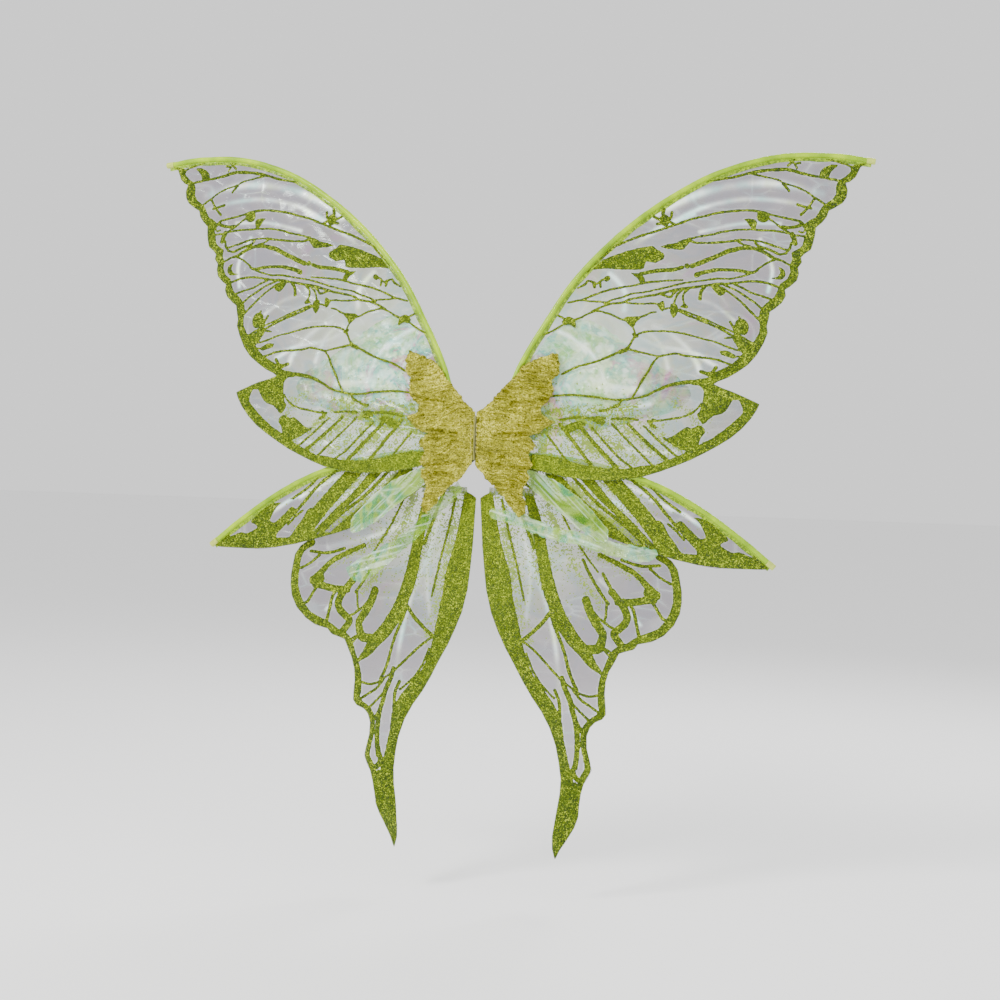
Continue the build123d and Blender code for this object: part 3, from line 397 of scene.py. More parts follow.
H_EDGE = [(365.5, -148.5), (351.1, -150.2), (330.7, -150.3), (312.6, -150.3), (294.6, -150.3), (276.4,
    -147.9), (261.8, -144.8), (246, -141.7), (233.7, -138.4), (217.8, -134.1), (203.1, -129.7), (184.7,
    -124.3), (166.2, -117.5), (147.7, -109.6), (129, -100.4), (110.3, -88.8), (91.5, -77.1), (72.6, -64.2),
    (53.8, -53.7)]
T_EDGE = [(231.3, -136.6), (241.3, -143.6), (248.9, -154.3), (251.6, -166.5), (254.4, -181.1), (254.7,
    -194.6), (252.7, -208.2), (245.7, -223.2), (233.8, -236), (219.4, -244), (202.3, -247.8), (197.6, -254.8),
    (190.2, -257), (179.3, -260.5), (174.6, -270.6), (167.5, -283.3), (164.1, -295.8), (163.2, -310.8),
    (164.8, -325.6), (165.1, -336.7), (160.3, -343.1), (151.7, -347.3), (145.7, -353.8), (142.2, -363.9),
    (142.6, -378.8), (146.6, -393.5), (149.4, -405.8), (144.7, -416), (139.9, -423.7), (136.5, -436.4),
    (134.4, -451.4), (133.5, -466.5), (128.8, -480.5), (120.5, -494.7), (112, -507.7), (106.1, -520.5)]
T_INNER = [(106.1, -520.5), (102, -505.7), (101.7, -490.7), (106, -460.5), (109.2, -439.1), (110, -420.3),
    (107, -398), (102.9, -378.3), (94.9, -356.2), (84.5, -336.8), (71.6, -318.7), (60, -299.3), (49.5,
    -279.8), (37.8, -259.1), (28.7, -239.6), (19.4, -216.3), (12.5, -187.9), (9.5, -163.2), (6.3, -132.2),
    (4.4, -101.2), (2.6, -74)]
STREAMER_2 = [(63.2, -37.4), (84.3, -43), (115.6, -60.4), (140.7, -81.7), (163.5, -107.9), (159.1, -123.9),
    (135.5, -112.4), (110.4, -93.7), (85.3, -73.6), (66.3, -57)]

FORE_WIRE = [(20.5, 13.0), (36.5, 53.0), (54.5, 97.0), (82.5, 147.0), (118.0, 202.0), (169.0, 257.0),
             (224.5, 301.0), (286.5, 336.5), (358.5, 358.5), (427.0, 361.5), (477.0, 355.5)]
HIND_WIRE = [(33.5, -18.0), (101.5, -21.5), (169.5, -34.5), (225.0, -53.5), (274.5, -79.5),
             (324.0, -114.0), (363.5, -146.0)]
F_ROOT = [(106.0, -43.5), (87.5, -40.5), (69.0, -36.0), (40.0, -26.0), (14.0, -16.0), (14.0, 8.0)]
TAIL_TOP = [(8.0, -70.0), (16.0, -66.0), (72.0, -66.0), (110.0, -74.0), (170.0, -96.0), (230.0, -128.0)]
GOLD = [(0.0, 30.0), (18.0, 45.5), (31.0, 61.5), (43.0, 73.5), (53.5, 87.5), (67.0, 97.0), (82.5, 102.5),
        (97.0, 107.0), (100.0, 93.0), (99.5, 81.0), (92.0, 73.0), (94.0, 59.5), (89.5, 48.5), (78.5, 39.5),
        (79.0, 31.0), (94.5, 21.5), (78.5, 9.5), (62.5, 3.5), (75.0, -8.5), (64.5, -18.5), (70.0, -32.0),
        (65.0, -39.5), (68.0, -48.0), (61.0, -58.0), (59.0, -66.5), (64.0, -81.0), (63.0, -92.0),
        (56.0, -97.0), (46.0, -84.0), (35.5, -70.0), (25.5, -59.0), (14.0, -49.5), (0.0, -32.0)]
BACKING = [(6.0, -2.0), (6.0, 24.0), (22.0, 42.0), (40.0, 64.0), (58.0, 86.0), (84.0, 96.0), (90.0, 78.0),
           (80.0, 44.0), (68.0, 20.0), (60.0, -2.0)]
OVERLAY = [(62.0, 100.0), (81.0, 124.0), (106.5, 150.0), (140.0, 150.0), (198.5, 112.0), (258.0, 72.0),
           (250.0, 44.0), (196.0, 26.0), (151.5, 14.0), (96.0, 4.0), (60.0, 4.0)]
STREAMER_R = [(20.0, -84.0), (60.0, -92.0), (96.0, -106.0), (124.0, -110.0), (170.0, -122.0),
              (222.0, -130.0), (214.0, -146.0), (170.0, -140.0), (126.0, -128.0), (92.0, -122.0),
              (56.0, -108.0), (20.0, -98.0)]
STREAMER_L = [(22.0, -54.0), (52.0, -84.0), (86.0, -118.0), (132.0, -146.0), (166.0, -168.0),
              (146.0, -186.0), (108.0, -158.0), (70.0, -124.0), (40.0, -92.0), (16.0, -66.0)]
LAYERS = {"F": (-30.0, 0.17, 0.11), "H": (-20.5, 0.14, 0.05), "T": (-14.0, 0.10, -0.045)}


# ---- small tools ----------------------------------------------------------------
def basis(name):
    a, b, c = LAYERS[name]
    o = np.array([0.0, a, 0.0])
    n = np.array([b, -1.0, c])
    n /= np.linalg.norm(n)
    x = np.array([1.0, b, 0.0])
    x /= np.linalg.norm(x)
    return o, x, np.cross(n, x), n


def place(name, s, t, h, side=1):
    """Points in mm of a layer's plane, lifted h towards the viewer, as metres in the row frame."""
    o, x, y, n = basis(name)
    p = o + np.outer(s, x) + np.outer(t, y) + np.outer(h, n)
    p[:, 0] *= side
    return p * MM


def smooth(a, b, v):
    k = np.clip((v - a) / (b - a), 0.0, 1.0)
    return k * k * (3 - 2 * k)


def _hash(ix, iy, seed):
    h = (ix * 374761393 + iy * 668265263 + seed * 974634777) & 0xFFFFFFFF
    h = ((h ^ (h >> 13)) * 1274126177) & 0xFFFFFFFF
    return ((h ^ (h >> 16)) & 0xFFFF) / 32767.5 - 1.0


def noise(x, y, seed=0):
    ix, iy = np.floor(x).astype(np.int64), np.floor(y).astype(np.int64)
    fx, fy = x - ix, y - iy
    fx, fy = fx**3 * (fx * (fx * 6 - 15) + 10), fy**3 * (fy * (fy * 6 - 15) + 10)
    a, b = _hash(ix, iy, seed), _hash(ix + 1, iy, seed)
    c, d = _hash(ix, iy + 1, seed), _hash(ix + 1, iy + 1, seed)
    return (a * (1 - fx) + b * fx) * (1 - fy) + (c * (1 - fx) + d * fx) * fy


def fbm(x, y, seed=0, octaves=3):
    v, k = 0.0, 1.0
    for i in range(octaves):
        v = v + k * noise(x * 2**i + 17.3 * i, y * 2**i - 9.1 * i, seed + i)
        k *= 0.5
    return v


def ridge(x, y, seed=0, octaves=2):
    """Sharp creases at 0, rising to 1 between them."""
    v, k, tot = 0.0, 1.0, 0.0
    for i in range(octaves):
        v = v + k * np.abs(noise(x * 2**i + 5.7 * i, y * 2**i + 3.3 * i, seed + 7 * i))
        tot += k
        k *= 0.5
    return v / tot


def curve(points, per=6):
    """Catmull-Rom through the points, with the parameter of each new point."""
    p = np.array(points, float)
    if len(p) < 3:
        k = np.linspace(0, 1, per + 1)[:, None]
        return p[0] * (1 - k) + p[-1] * k, np.linspace(0, 1, per + 1)
    q = np.vstack([2 * p[0] - p[1], p, 2 * p[-1] - p[-2]])
    out, u = [], []
    for i in range(len(p) - 1):
        a, b, c, d = q[i], q[i + 1], q[i + 2], q[i + 3]
        for k in np.arange(per) / per:
            out.append(0.5 * (2 * b + (c - a) * k + (2 * a - 5 * b + 4 * c - d) * k**2
                              + (3 * b - a - 3 * c + d) * k**3))
            u.append(i + k)
    out.append(p[-1])
    u.append(len(p) - 1)
    return np.array(out), np.array(u) / (len(p) - 1)


class Field:
    """A signed distance in mm on a grid; below zero is inside."""

    def __init__(self, lo, hi, step):
        self.step = step
        self.s = np.arange(lo[0], hi[0] + step, step)
        self.t = np.arange(lo[1], hi[1] + step, step)
        self.S, self.T = np.meshgrid(self.s, self.t)
        self.d = np.full(self.S.shape, 50.0)

    def copy(self, value=50.0):
        f = object.__new__(Field)
        f.step, f.s, f.t, f.S, f.T = self.step, self.s, self.t, self.S, self.T
        f.d = np.full(self.S.shape, value)
        return f

    def window(self, lo, hi, pad):
        i0, i1 = np.searchsorted(self.s, [lo[0] - pad, hi[0] + pad])
        j0, j1 = np.searchsorted(self.t, [lo[1] - pad, hi[1] + pad])
        return slice(max(j0, 0), j1), slice(max(i0, 0), i1)

    def stroke(self, points, widths, reach=6.0):
        p, u = curve(points)
        w = np.interp(u, np.linspace(0, 1, len(widths)), widths) if len(widths) > 1 else np.full(len(u), widths[0])
        for a, b, wa, wb in zip(p, p[1:], w, w[1:]):
            pad = max(wa, wb) / 2 + reach
            win = self.window(np.minimum(a, b), np.maximum(a, b), pad)
            S, T = self.S[win], self.T[win]
            if S.size == 0:
                continue
            ab = b - a
            k = np.clip(((S - a[0]) * ab[0] + (T - a[1]) * ab[1]) / max(ab @ ab, 1e-9), 0, 1)
            d = np.hypot(S - a[0] - k * ab[0], T - a[1] - k * ab[1]) - (wa + (wb - wa) * k) / 2
            self.d[win] = np.minimum(self.d[win], d)

    def polygon(self, points, reach=1e9, rounded=True):
        p = curve(list(points) + [points[0]], 3)[0][:-1] if rounded else np.array(points, float)
        win = self.window(p.min(0), p.max(0), min(reach, 1e4))
        S, T = self.S[win], self.T[win]
        dist = np.full(S.shape, 1e9)
        inside = np.zeros(S.shape, bool)
        for a, b in zip(p, np.roll(p, -1, 0)):
            ab = b - a
            k = np.clip(((S - a[0]) * ab[0] + (T - a[1]) * ab[1]) / max(ab @ ab, 1e-9), 0, 1)
            dist = np.minimum(dist, (S - a[0] - k * ab[0]) ** 2 + (T - a[1] - k * ab[1]) ** 2)
            if a[1] != b[1]:
                cross = (a[1] > T) != (b[1] > T)
                inside ^= cross & (S < (b[0] - a[0]) * (T - a[1]) / (b[1] - a[1]) + a[0])
        d = np.where(inside, -1.0, 1.0) * np.sqrt(dist)
        self.d[win] = np.minimum(self.d[win], d)

    def at(self, s, t):
        x = np.clip((s - self.s[0]) / self.step, 0, len(self.s) - 1.001)
        y = np.clip((t - self.t[0]) / self.step, 0, len(self.t) - 1.001)
        i, j = x.astype(int), y.astype(int)
        fx, fy = x - i, y - j
        d = self.d
        return ((d[j, i] * (1 - fx) + d[j, i + 1] * fx) * (1 - fy)
                + (d[j + 1, i] * (1 - fx) + d[j + 1, i + 1] * fx) * fy)

    def mesh(self):
        """Triangles of the inside: (s, t), distance at each, faces and rim edges."""
        ny, nx = self.d.shape
        d = self.d.ravel().copy()
        d[np.abs(d) < 0.06 * self.step] = 0.06 * self.step
        j, i = np.meshgrid(np.arange(ny - 1), np.arange(nx - 1), indexing="ij")
        a = (j * nx + i).ravel()
        b, c, e = a + 1, a + nx + 1, a + nx
        flip = ((i + j) % 2).ravel().astype(bool)
        t1 = np.where(flip[:, None], np.stack([a, b, e], 1), np.stack([a, b, c], 1))
        t2 = np.where(flip[:, None], np.stack([b, c, e], 1), np.stack([a, c, e], 1))
        tri = np.vstack([t1, t2])
        ins = d[tri] < 0
        n_in = ins.sum(1)
        N = ny * nx
        keys, faces = [], []

        def turned(tri, ins, first):
            k = np.argmax(first, 1)
            idx = (k[:, None] + np.arange(3)) % 3
            return np.take_along_axis(tri, idx, 1)

        full = tri[n_in == 3]
        one = turned(tri[n_in == 1], None, ins[n_in == 1])
        two = turned(tri[n_in == 2], None, ~ins[n_in == 2])

        def cut(p, q):
            return -(np.minimum(p, q) * N + np.maximum(p, q)) - 1

        f = [full,
             np.stack([one[:, 0], cut(one[:, 0], one[:, 1]), cut(one[:, 0], one[:, 2])], 1),
             np.stack([cut(two[:, 0], two[:, 1]), two[:, 1], two[:, 2]], 1),
             np.stack([cut(two[:, 0], two[:, 1]), two[:, 2], cut(two[:, 0], two[:, 2])], 1)]
        f = np.vstack(f)
        ids, faces = np.unique(f, return_inverse=True)
        faces = faces.reshape(f.shape)
        S, T = self.S.ravel(), self.T.ravel()
        s, t, dd = np.zeros(len(ids)), np.zeros(len(ids)), np.zeros(len(ids))
        node = ids >= 0
        s[node], t[node], dd[node] = S[ids[node]], T[ids[node]], d[ids[node]]
        k = -(ids[~node] + 1)
        p, q = k // N, k % N
        w = d[p] / (d[p] - d[q])
        s[~node], t[~node] = S[p] + w * (S[q] - S[p]), T[p] + w * (T[q] - T[p])
        ed = np.vstack([faces[:, [0, 1]], faces[:, [1, 2]], faces[:, [2, 0]]])
        key = np.sort(ed, 1)
        _, idx, cnt = np.unique(key, axis=0, return_index=True, return_counts=True)
        return s, t, dd, faces, ed[idx[cnt == 1]]


def mesh_object(name, verts, faces, material, flip=False, smooth_shade=True, attributes=None):
    me = bpy.data.meshes.new(name)
    faces = np.asarray(faces)
    if flip:
        faces = faces[:, ::-1]
    nf, k = faces.shape
    me.vertices.add(len(verts))
    me.vertices.foreach_set("co", np.asarray(verts, np.float32).ravel())
    me.loops.add(nf * k)
    me.loops.foreach_set("vertex_index", faces.astype(np.int32).ravel())
    me.polygons.add(nf)
    me.polygons.foreach_set("loop_start", np.arange(0, nf * k, k, dtype=np.int32))
    me.update(calc_edges=True)
    me.validate()
    me.polygons.foreach_set("use_smooth", np.full(len(me.polygons), smooth_shade))
    for key, values in (attributes or {}).items():
        at = me.attributes.new(key, "FLOAT", "POINT")
        at.data.foreach_set("value", np.asarray(values, np.float32))
    me.materials.append(material)
    o = bpy.data.objects.new(name, me)
    bpy.context.scene.collection.objects.link(o)
    return o


def tube(path, radius, sides, start=0.0, caps=True):
    """A swept ring along path (n, 3); radius is (n,) or (n, sides)."""
    path = np.asarray(path, float)
    tan = np.gradient(path, axis=0)
    tan /= np.linalg.norm(tan, axis=1)[:, None]
    ref = np.array([0.0, -1.0, 0.0])
    u = np.cross(tan, ref)
    u /= np.linalg.norm(u, axis=1)[:, None]
    v = np.cross(tan, u)
    a = start + np.arange(sides) / sides * 2 * np.pi
    rad = np.broadcast_to(np.asarray(radius, float).reshape(len(path), -1), (len(path), sides))
    ring = (path[:, None, :] + rad[..., None] * (np.cos(a)[None, :, None] * u[:, None, :]
                                                + np.sin(a)[None, :, None] * v[:, None, :]))
    verts = ring.reshape(-1, 3)
    i = np.arange(len(path) - 1)[:, None] * sides
    j = np.arange(sides)[None, :]
    k = (j + 1) % sides
    f = np.stack([i + j, i + k, i + sides + k, i + sides + j], -1).reshape(-1, 4)
    return verts, f


# ---- materials --------------------------------------------------------------------
class Mat:
    def __init__(self, name, **sockets):
        self.m = bpy.data.materials.new(name)
        self.m.use_nodes = True
        self.nt = self.m.node_tree
        self.b = self.nt.nodes["Principled BSDF"]
        self.pos = self.nt.nodes.new("ShaderNodeTexCoord").outputs["Object"]
        for k, v in sockets.items():
            self.b.inputs[k.replace("_", " ")].default_value = v

    def put(self, socket, out):
        self.nt.links.new(out, self.b.inputs[socket])
        return self

    def node(self, kind, inputs=None, **props):
        nd = self.nt.nodes.new(kind)
        for k, v in props.items():
            setattr(nd, k, v)
        for k, v in (inputs or {}).items():
            sock = nd.inputs[k]
            if isinstance(v, bpy.types.NodeSocket):
                self.nt.links.new(v, sock)
            else:
                sock.default_value = v
        return nd

    def scaled(self, scale, vec=None):
        return self.node("ShaderNodeMapping", {"Vector": vec or self.pos, "Scale": scale}).outputs["Vector"]

    def noise(self, scale, detail=3.0, rough=0.55, warp=0.0, vec=None):
        return self.node("ShaderNodeTexNoise", {"Vector": vec or self.pos, "Scale": scale, "Detail": detail,
                                                "Roughness": rough, "Distortion": warp}).outputs["Fac"]

    def cells(self, scale, out="Distance", feature="F1", vec=None, rand=1.0):
        return self.node("ShaderNodeTexVoronoi", {"Vector": vec or self.pos, "Scale": scale, "Randomness": rand},
                         feature=feature).outputs[out]

    def wave(self, scale, direction="X", warp=0.0, vec=None):
        return self.node("ShaderNodeTexWave", {"Vector": vec or self.pos, "Scale": scale, "Distortion": warp,
                                               "Detail": 1.0}, bands_direction=direction).outputs["Fac"]

    def grey(self, colour):
        return self.node("ShaderNodeSeparateColor", {"Color": colour}).outputs["Red"]

    def ramp(self, fac, stops, mode="LINEAR"):
        nd = self.node("ShaderNodeValToRGB", {"Fac": fac})
        nd.color_ramp.interpolation = mode
        e = nd.color_ramp.elements
        while len(e) < len(stops):
            e.new(0.5)
        for el, (p, c) in zip(e, stops):
            el.position = p
            el.color = (c, c, c, 1.0) if isinstance(c, (int, float)) else (*c, 1.0)
        return nd.outputs["Color"]

    def math(self, op, a, b=0.0, clamp=False):
        nd = self.node("ShaderNodeMath", operation=op, use_clamp=clamp)
        for k, v in enumerate((a, b)):
            if isinstance(v, bpy.types.NodeSocket):
                self.nt.links.new(v, nd.inputs[k])
            else:
                nd.inputs[k].default_value = v
        return nd.outputs[0]

    def mix(self, fac, a, b, blend="MIX"):
        nd = self.node("ShaderNodeMix", data_type="RGBA", blend_type=blend)
        for k, v in ((0, fac), (6, a), (7, b)):
            if isinstance(v, bpy.types.NodeSocket):
                self.nt.links.new(v, nd.inputs[k])
            else:
                nd.inputs[k].default_value = v if k == 0 else (*v, 1.0)
        return nd.outputs[2]

    def attr(self, name):
        return self.node("ShaderNodeAttribute", attribute_name=name).outputs["Fac"]

    def bump(self, height, strength, distance, normal=None):
        ins = {"Height": height, "Strength": strength, "Distance": distance}
        if normal:
            ins["Normal"] = normal
        return self.node("ShaderNodeBump", ins).outputs["Normal"]


def make_film(name, base, base_alpha, tints, crease_highlight_level=1.0, core_mix=(0.05, 0.8), tscale=15.0,
              lace=False, grain=(3.0, 0.62, 1.1), fine=0.0):
    f = Mat(name, Roughness=0.16, Metallic=0.0)
    f.b.inputs["IOR"].default_value = 1.5
    f.b.inputs["Specular IOR Level"].default_value = 0.4
    f.b.inputs["Thin Film Thickness"].default_value = 380.0
    f.b.inputs["Thin Film IOR"].default_value = 1.42
    tint = f.ramp(f.noise(tscale, *grain), tints)
    core = f.ramp(f.attr("core"), [(0.0, core_mix[0]), (1.0, core_mix[1])])
    soft = f.mix(core, base, tint)
    # painted highlights: pale cyan-white marks along the cell folds and along the streaks of the sheen attribute, mixed
    # into the colour and alpha below
    cell = f.cells(30.0, "Distance", "DISTANCE_TO_EDGE", f.scaled((0.6, 1.0, 1.5)))
    fold = f.ramp(cell, [(0.0, 1.0), (0.05, 0.3), (0.16, 0.0)])
    patch = f.ramp(f.noise(17.0, 2.0), [(0.42, 0.0), (0.64, 1.0)])
    crease_highlights = f.math("MULTIPLY", f.math("MULTIPLY", f.grey(fold), f.grey(patch)), 0.55 * crease_highlight_level)
    streak_highlight = f.math("MULTIPLY", f.attr("sheen"), f.math("ADD", f.noise(26.0, 3.0, 0.6, 0.5), 0.35))
    bright = f.math("MAXIMUM", crease_highlights, streak_highlight, True)
    if fine:  # closely crushed film: a second, much finer net of folds, painted as thin highlights
        net = f.cells(95.0, "Distance", "DISTANCE_TO_EDGE", f.node("ShaderNodeVectorMath", {
            0: f.scaled((1.0, 1.0, 1.4)), 1: f.scaled((0.0, 0.0, 0.0))}, operation="ADD").outputs[0])
        thin = f.grey(f.ramp(net, [(0.0, 1.0), (0.07, 0.35), (0.20, 0.0)]))
        on = f.grey(f.ramp(f.noise(34.0, 3.0, 0.6), [(0.40, 0.0), (0.60, 1.0)]))
        bright = f.math("MAXIMUM", bright, f.math("MULTIPLY", f.math("MULTIPLY", thin, on), fine), True)
    # shine: the colour of the painted highlights, pale cyan to white
    shine = f.ramp(f.noise(31.0, 2.0), [(0.35, (0.52, 0.86, 0.80)), (0.52, (0.90, 0.96, 0.92)), (0.66, (0.80, 0.93, 0.62))])
    f.put("Base Color", f.mix(bright, soft, shine))
    haze = f.math("MULTIPLY", f.noise(7.0, 2.0), 0.16)
    # the painted highlights are also made more opaque
    a = f.math("ADD", f.math("MULTIPLY", bright, 0.42), f.math("ADD", haze, base_alpha - 0.08))
    if lace:  # where the glitter is printed, its underside shows through the clear film
        a = f.math("MULTIPLY", a, f.math("SUBTRACT", 1.0, f.math("MULTIPLY", f.attr("core"), 0.72)), True)
        a = f.math("MULTIPLY", a, f.math("SUBTRACT", 1.0, f.math("MULTIPLY", f.attr("lace"), 0.8)))
        # loose glitter dust scattered on the film
        grit = f.grey(f.cells(640.0, "Color"))
        many = f.math("MULTIPLY", f.attr("dust"), f.grey(f.ramp(f.noise(48.0, 4.0, 0.65), [(0.38, 0.50), (0.60, 1.0)])))
        speck = f.math("GREATER_THAN", f.math("ADD", grit, f.math("MULTIPLY", many, 0.72)), 1.0)
        a = f.math("MAXIMUM", a, f.math("MULTIPLY", speck, 0.92), True)
        tone = f.mix(f.noise(300.0, 2.0), (0.035, 0.075, 0.0003), (0.30, 0.42, 0.004))
        # glitter specks over the film colour, which carries the painted highlights
        f.put("Base Color", f.mix(speck, f.mix(bright, soft, shine), tone))
    else:
        a = f.math("ADD", a, f.math("MULTIPLY", f.attr("core"), 0.08), True)
    f.put("Alpha", a)
    f.put("Roughness", f.math("ADD", f.math("MULTIPLY", f.noise(60.0), 0.16), 0.07))
    f.put("Normal", f.bump(f.math("ADD", f.grey(fold), f.math("MULTIPLY", f.noise(90.0, 3.0, 0.6, 0.8), 0.6)), 0.45, 0.0011))
    return f.m


FILM = make_film("clear_film", (0.105, 0.070, 0.115), 0.70,
                 [(0.27, (0.02, 0.36, 0.26)), (0.37, (0.36, 0.54, 0.10)), (0.46, (0.52, 0.66, 0.40)), (0.54, (0.03, 0.42, 0.30)),
                  (0.62, (0.34, 0.52, 0.01)), (0.72, (0.56, 0.14, 0.34))], 0.5, (0.05, 0.92), 15.0, True)
CRINKLE = make_film("crinkled_film", (0.18, 0.34, 0.25), 0.76,
                    [(0.30, (0.01, 0.34, 0.26)), (0.38, (0.16, 0.50, 0.04)), (0.45, (0.54, 0.70, 0.42)), (0.51, (0.01, 0.44, 0.34)),
                     (0.58, (0.62, 0.08, 0.32)), (0.66, (0.36, 0.58, 0.01)), (0.76, (0.02, 0.32, 0.34))], 1.0, (0.7, 1.0), 17.0,
                    False, (4.5, 0.62, 1.0), 0.5)
LOOSE = make_film("loose_cellophane", (0.14, 0.34, 0.03), 0.50,
                  [(0.28, (0.04, 0.20, 0.002)), (0.40, (0.22, 0.40, 0.006)), (0.48, (0.38, 0.58, 0.10)), (0.56, (0.01, 0.34, 0.16)),
                   (0.66, (0.26, 0.42, 0.002)), (0.76, (0.02, 0.30, 0.22))], 0.7, (0.4, 0.95), 17.0)


def make_glitter():
    g = Mat("green_glitter", Metallic=0.25, Specular_IOR_Level=0.2)
    flake = g.cells(860.0, "Color")
    pick = g.grey(flake)
    clump = g.noise(105.0, 4.0, 0.65)
    key = g.math("ADD", g.math("MULTIPLY", pick, 0.55), g.math("MULTIPLY", clump, 0.5))
    colour = g.ramp(key, [(0.22, (0.008, 0.018, 0.0001)), (0.40, (0.024, 0.050, 0.0001)), (0.55, (0.054, 0.095, 0.0002)),
                          (0.68, (0.125, 0.185, 0.0008)), (0.80, (0.48, 0.58, 0.04))])
    wear = g.ramp(g.noise(23.0, 3.0, 0.6), [(0.35, 0.0), (0.75, 0.35)])
    near = g.math("MULTIPLY", g.attr("near"), 0.80)
    colour = g.mix(near, colour, g.mix(pick, (0.070, 0.125, 0.0002), (0.34, 0.43, 0.004)))
    g.put("Base Color", g.mix(wear, colour, (0.078, 0.128, 0.0006)))
    g.put("Roughness", g.math("ADD", g.math("MULTIPLY", pick, 0.35), 0.18))
    g.put("Metallic", g.math("MULTIPLY", pick, 0.7))
    h = g.cells(860.0)
    g.put("Normal", g.bump(g.math("ADD", h, pick), 0.9, 0.0009))
    return g.m


GLITTER = make_glitter()


def make_casing():
    c = Mat("green_casing", Roughness=0.34)
    c.b.inputs["Coat Weight"].default_value = 0.05
    c.b.inputs["Specular IOR Level"].default_value = 0.2
    v = c.noise(28.0, 3.0, 0.55)
    col = c.ramp(v, [(0.30, (0.16, 0.30, 0.0001)), (0.50, (0.27, 0.45, 0.0001)), (0.70, (0.42, 0.62, 0.0003))])
    grit = c.grey(c.cells(620.0, "Color"))
    weld = c.ramp(c.math("ADD", c.math("MULTIPLY", grit, 0.5), c.math("MULTIPLY", c.noise(75.0, 3.0, 0.6), 0.5)),
                  [(0.30, (0.050, 0.100, 0.0001)), (0.50, (0.11, 0.19, 0.0003)), (0.72, (0.30, 0.44, 0.002))])
    c.put("Base Color", c.mix(c.attr("flange"), col, weld))
    c.put("Alpha", c.math("ADD", c.math("MULTIPLY", c.noise(60.0, 2.0), 0.16), 0.88, True))
    c.put("Roughness", c.math("ADD", c.math("MULTIPLY", c.noise(130.0), 0.25), 0.22))
    c.put("Normal", c.bump(c.noise(420.0, 3.0, 0.6, 0.3), 0.35, 0.0006))
    return c.m


CASING = make_casing()


def make_gold():
    g = Mat("gold_lame", Metallic=0.55)
    v = g.noise(34.0, 4.0, 0.6, 0.5)
    spark = g.grey(g.cells(900.0, "Color"))
    key = g.math("ADD", g.math("MULTIPLY", v, 0.60), g.math("MULTIPLY", spark, 0.42))
    col = g.ramp(key, [(0.30, (0.098, 0.096, 0.0009)), (0.44, (0.215, 0.212, 0.003)), (0.58, (0.350, 0.330, 0.006)),
                       (0.76, (0.78, 0.73, 0.11))])
    # painted shade: the base colour darkens toward dark olive in the valleys of the gathers and where the lamé sits low
    g.put("Base Color", g.mix(g.math("MULTIPLY", g.attr("painted_valley_shade"), 0.38), col, (0.080, 0.074, 0.0008)))
    weave = g.math("ADD", g.wave(900.0, "X", 0.6), g.wave(900.0, "Z", 0.6))
    g.put("Roughness", g.math("ADD", g.math("MULTIPLY", spark, 0.25), 0.24))
    n1 = g.bump(g.noise(210.0, 3.0, 0.65, 1.2), 0.75, 0.0020)
    g.put("Normal", g.bump(weave, 0.25, 0.0003, n1))
    return g.m


GOLD_M = make_gold()


def make_cloth(name, c0, c1, scale=1100.0, rough=0.85, fuzz=0.3, rib=None):
    c = Mat(name, Roughness=rough)
    c.b.inputs["Sheen Weight"].default_value = fuzz
    c.b.inputs["Sheen Roughness"].default_value = 0.5
    warp = c.wave(scale, "X", 0.8)
    weft = c.wave(scale, "Z", 0.8)
    k = c.math("MULTIPLY", c.math("ADD", warp, weft), 0.5)
    tone = c.math("ADD", c.math("MULTIPLY", k, 0.5), c.math("MULTIPLY", c.noise(45.0, 4.0, 0.6), 0.6))
    c.put("Base Color", c.ramp(tone, [(0.25, c0), (0.75, c1)]))
    c.put("Roughness", c.math("ADD", c.math("MULTIPLY", c.noise(200.0), 0.2), rough - 0.1))
    c.put("Normal", c.bump(k, 0.5, 0.0004, c.bump(c.noise(160.0, 4.0, 0.7), 0.3, 0.0008)))
    return c.m


FELT = make_cloth("pad_felt", (0.115, 0.145, 0.030), (0.20, 0.235, 0.055), 2300.0, 0.95, 0.6)
TAPE = make_cloth("binding_tape", (0.19, 0.185, 0.008), (0.32, 0.31, 0.018), 1300.0, 0.75)
ELASTIC = make_cloth("elastic", (0.22, 0.27, 0.035), (0.36, 0.42, 0.065), 1700.0, 0.7)
BACKCLOTH = make_cloth("backing_cloth", (0.17, 0.17, 0.035), (0.28, 0.28, 0.06), 1500.0, 0.85)


def make_thread(name, c0, c1):
    c = Mat(name, Roughness=0.6)
    tw = c.wave(2600.0, "DIAGONAL", 0.5)
    c.put("Base Color", c.ramp(c.math("ADD", c.math("MULTIPLY", tw, 0.5), c.math("MULTIPLY", c.noise(300.0), 0.5)),
                               [(0.2, c0), (0.8, c1)]))
    c.put("Normal", c.bump(tw, 0.5, 0.0002))
    return c.m


THREAD = make_thread("thread", (0.20, 0.22, 0.03), (0.46, 0.48, 0.12))
GOLD_THREAD = make_thread("gold_thread", (0.30, 0.26, 0.04), (0.62, 0.57, 0.16))


def make_hard(name, c0, c1, rough, metal=0.0, scale=80.0, streak_highlight=(1.0, 1.0, 1.0)):
    c = Mat(name, Metallic=metal)
    v = c.noise(scale, 4.0, 0.6, 0.2, c.scaled(streak_highlight))
    c.put("Base Color", c.ramp(v, [(0.3, c0), (0.7, c1)]))
    c.put("Roughness", c.math("ADD", c.math("MULTIPLY", c.noise(scale * 3, 3.0), 0.25), rough - 0.1))
    c.put("Normal", c.bump(c.noise(scale * 9, 3.0, 0.6), 0.25, 0.0004))
    return c.m


WIRE_M = make_hard("spring_wire", (0.20, 0.23, 0.05), (0.36, 0.39, 0.12), 0.34, 0.8, 120.0)
CAP_M = make_hard("end_cap", (0.34, 0.41, 0.045), (0.50, 0.58, 0.09), 0.32, 0.0, 140.0)
BOARD_M = make_hard("board", (0.060, 0.075, 0.022), (0.095, 0.11, 0.032), 0.5, 0.0, 60.0, (1.0, 1.0, 3.0))

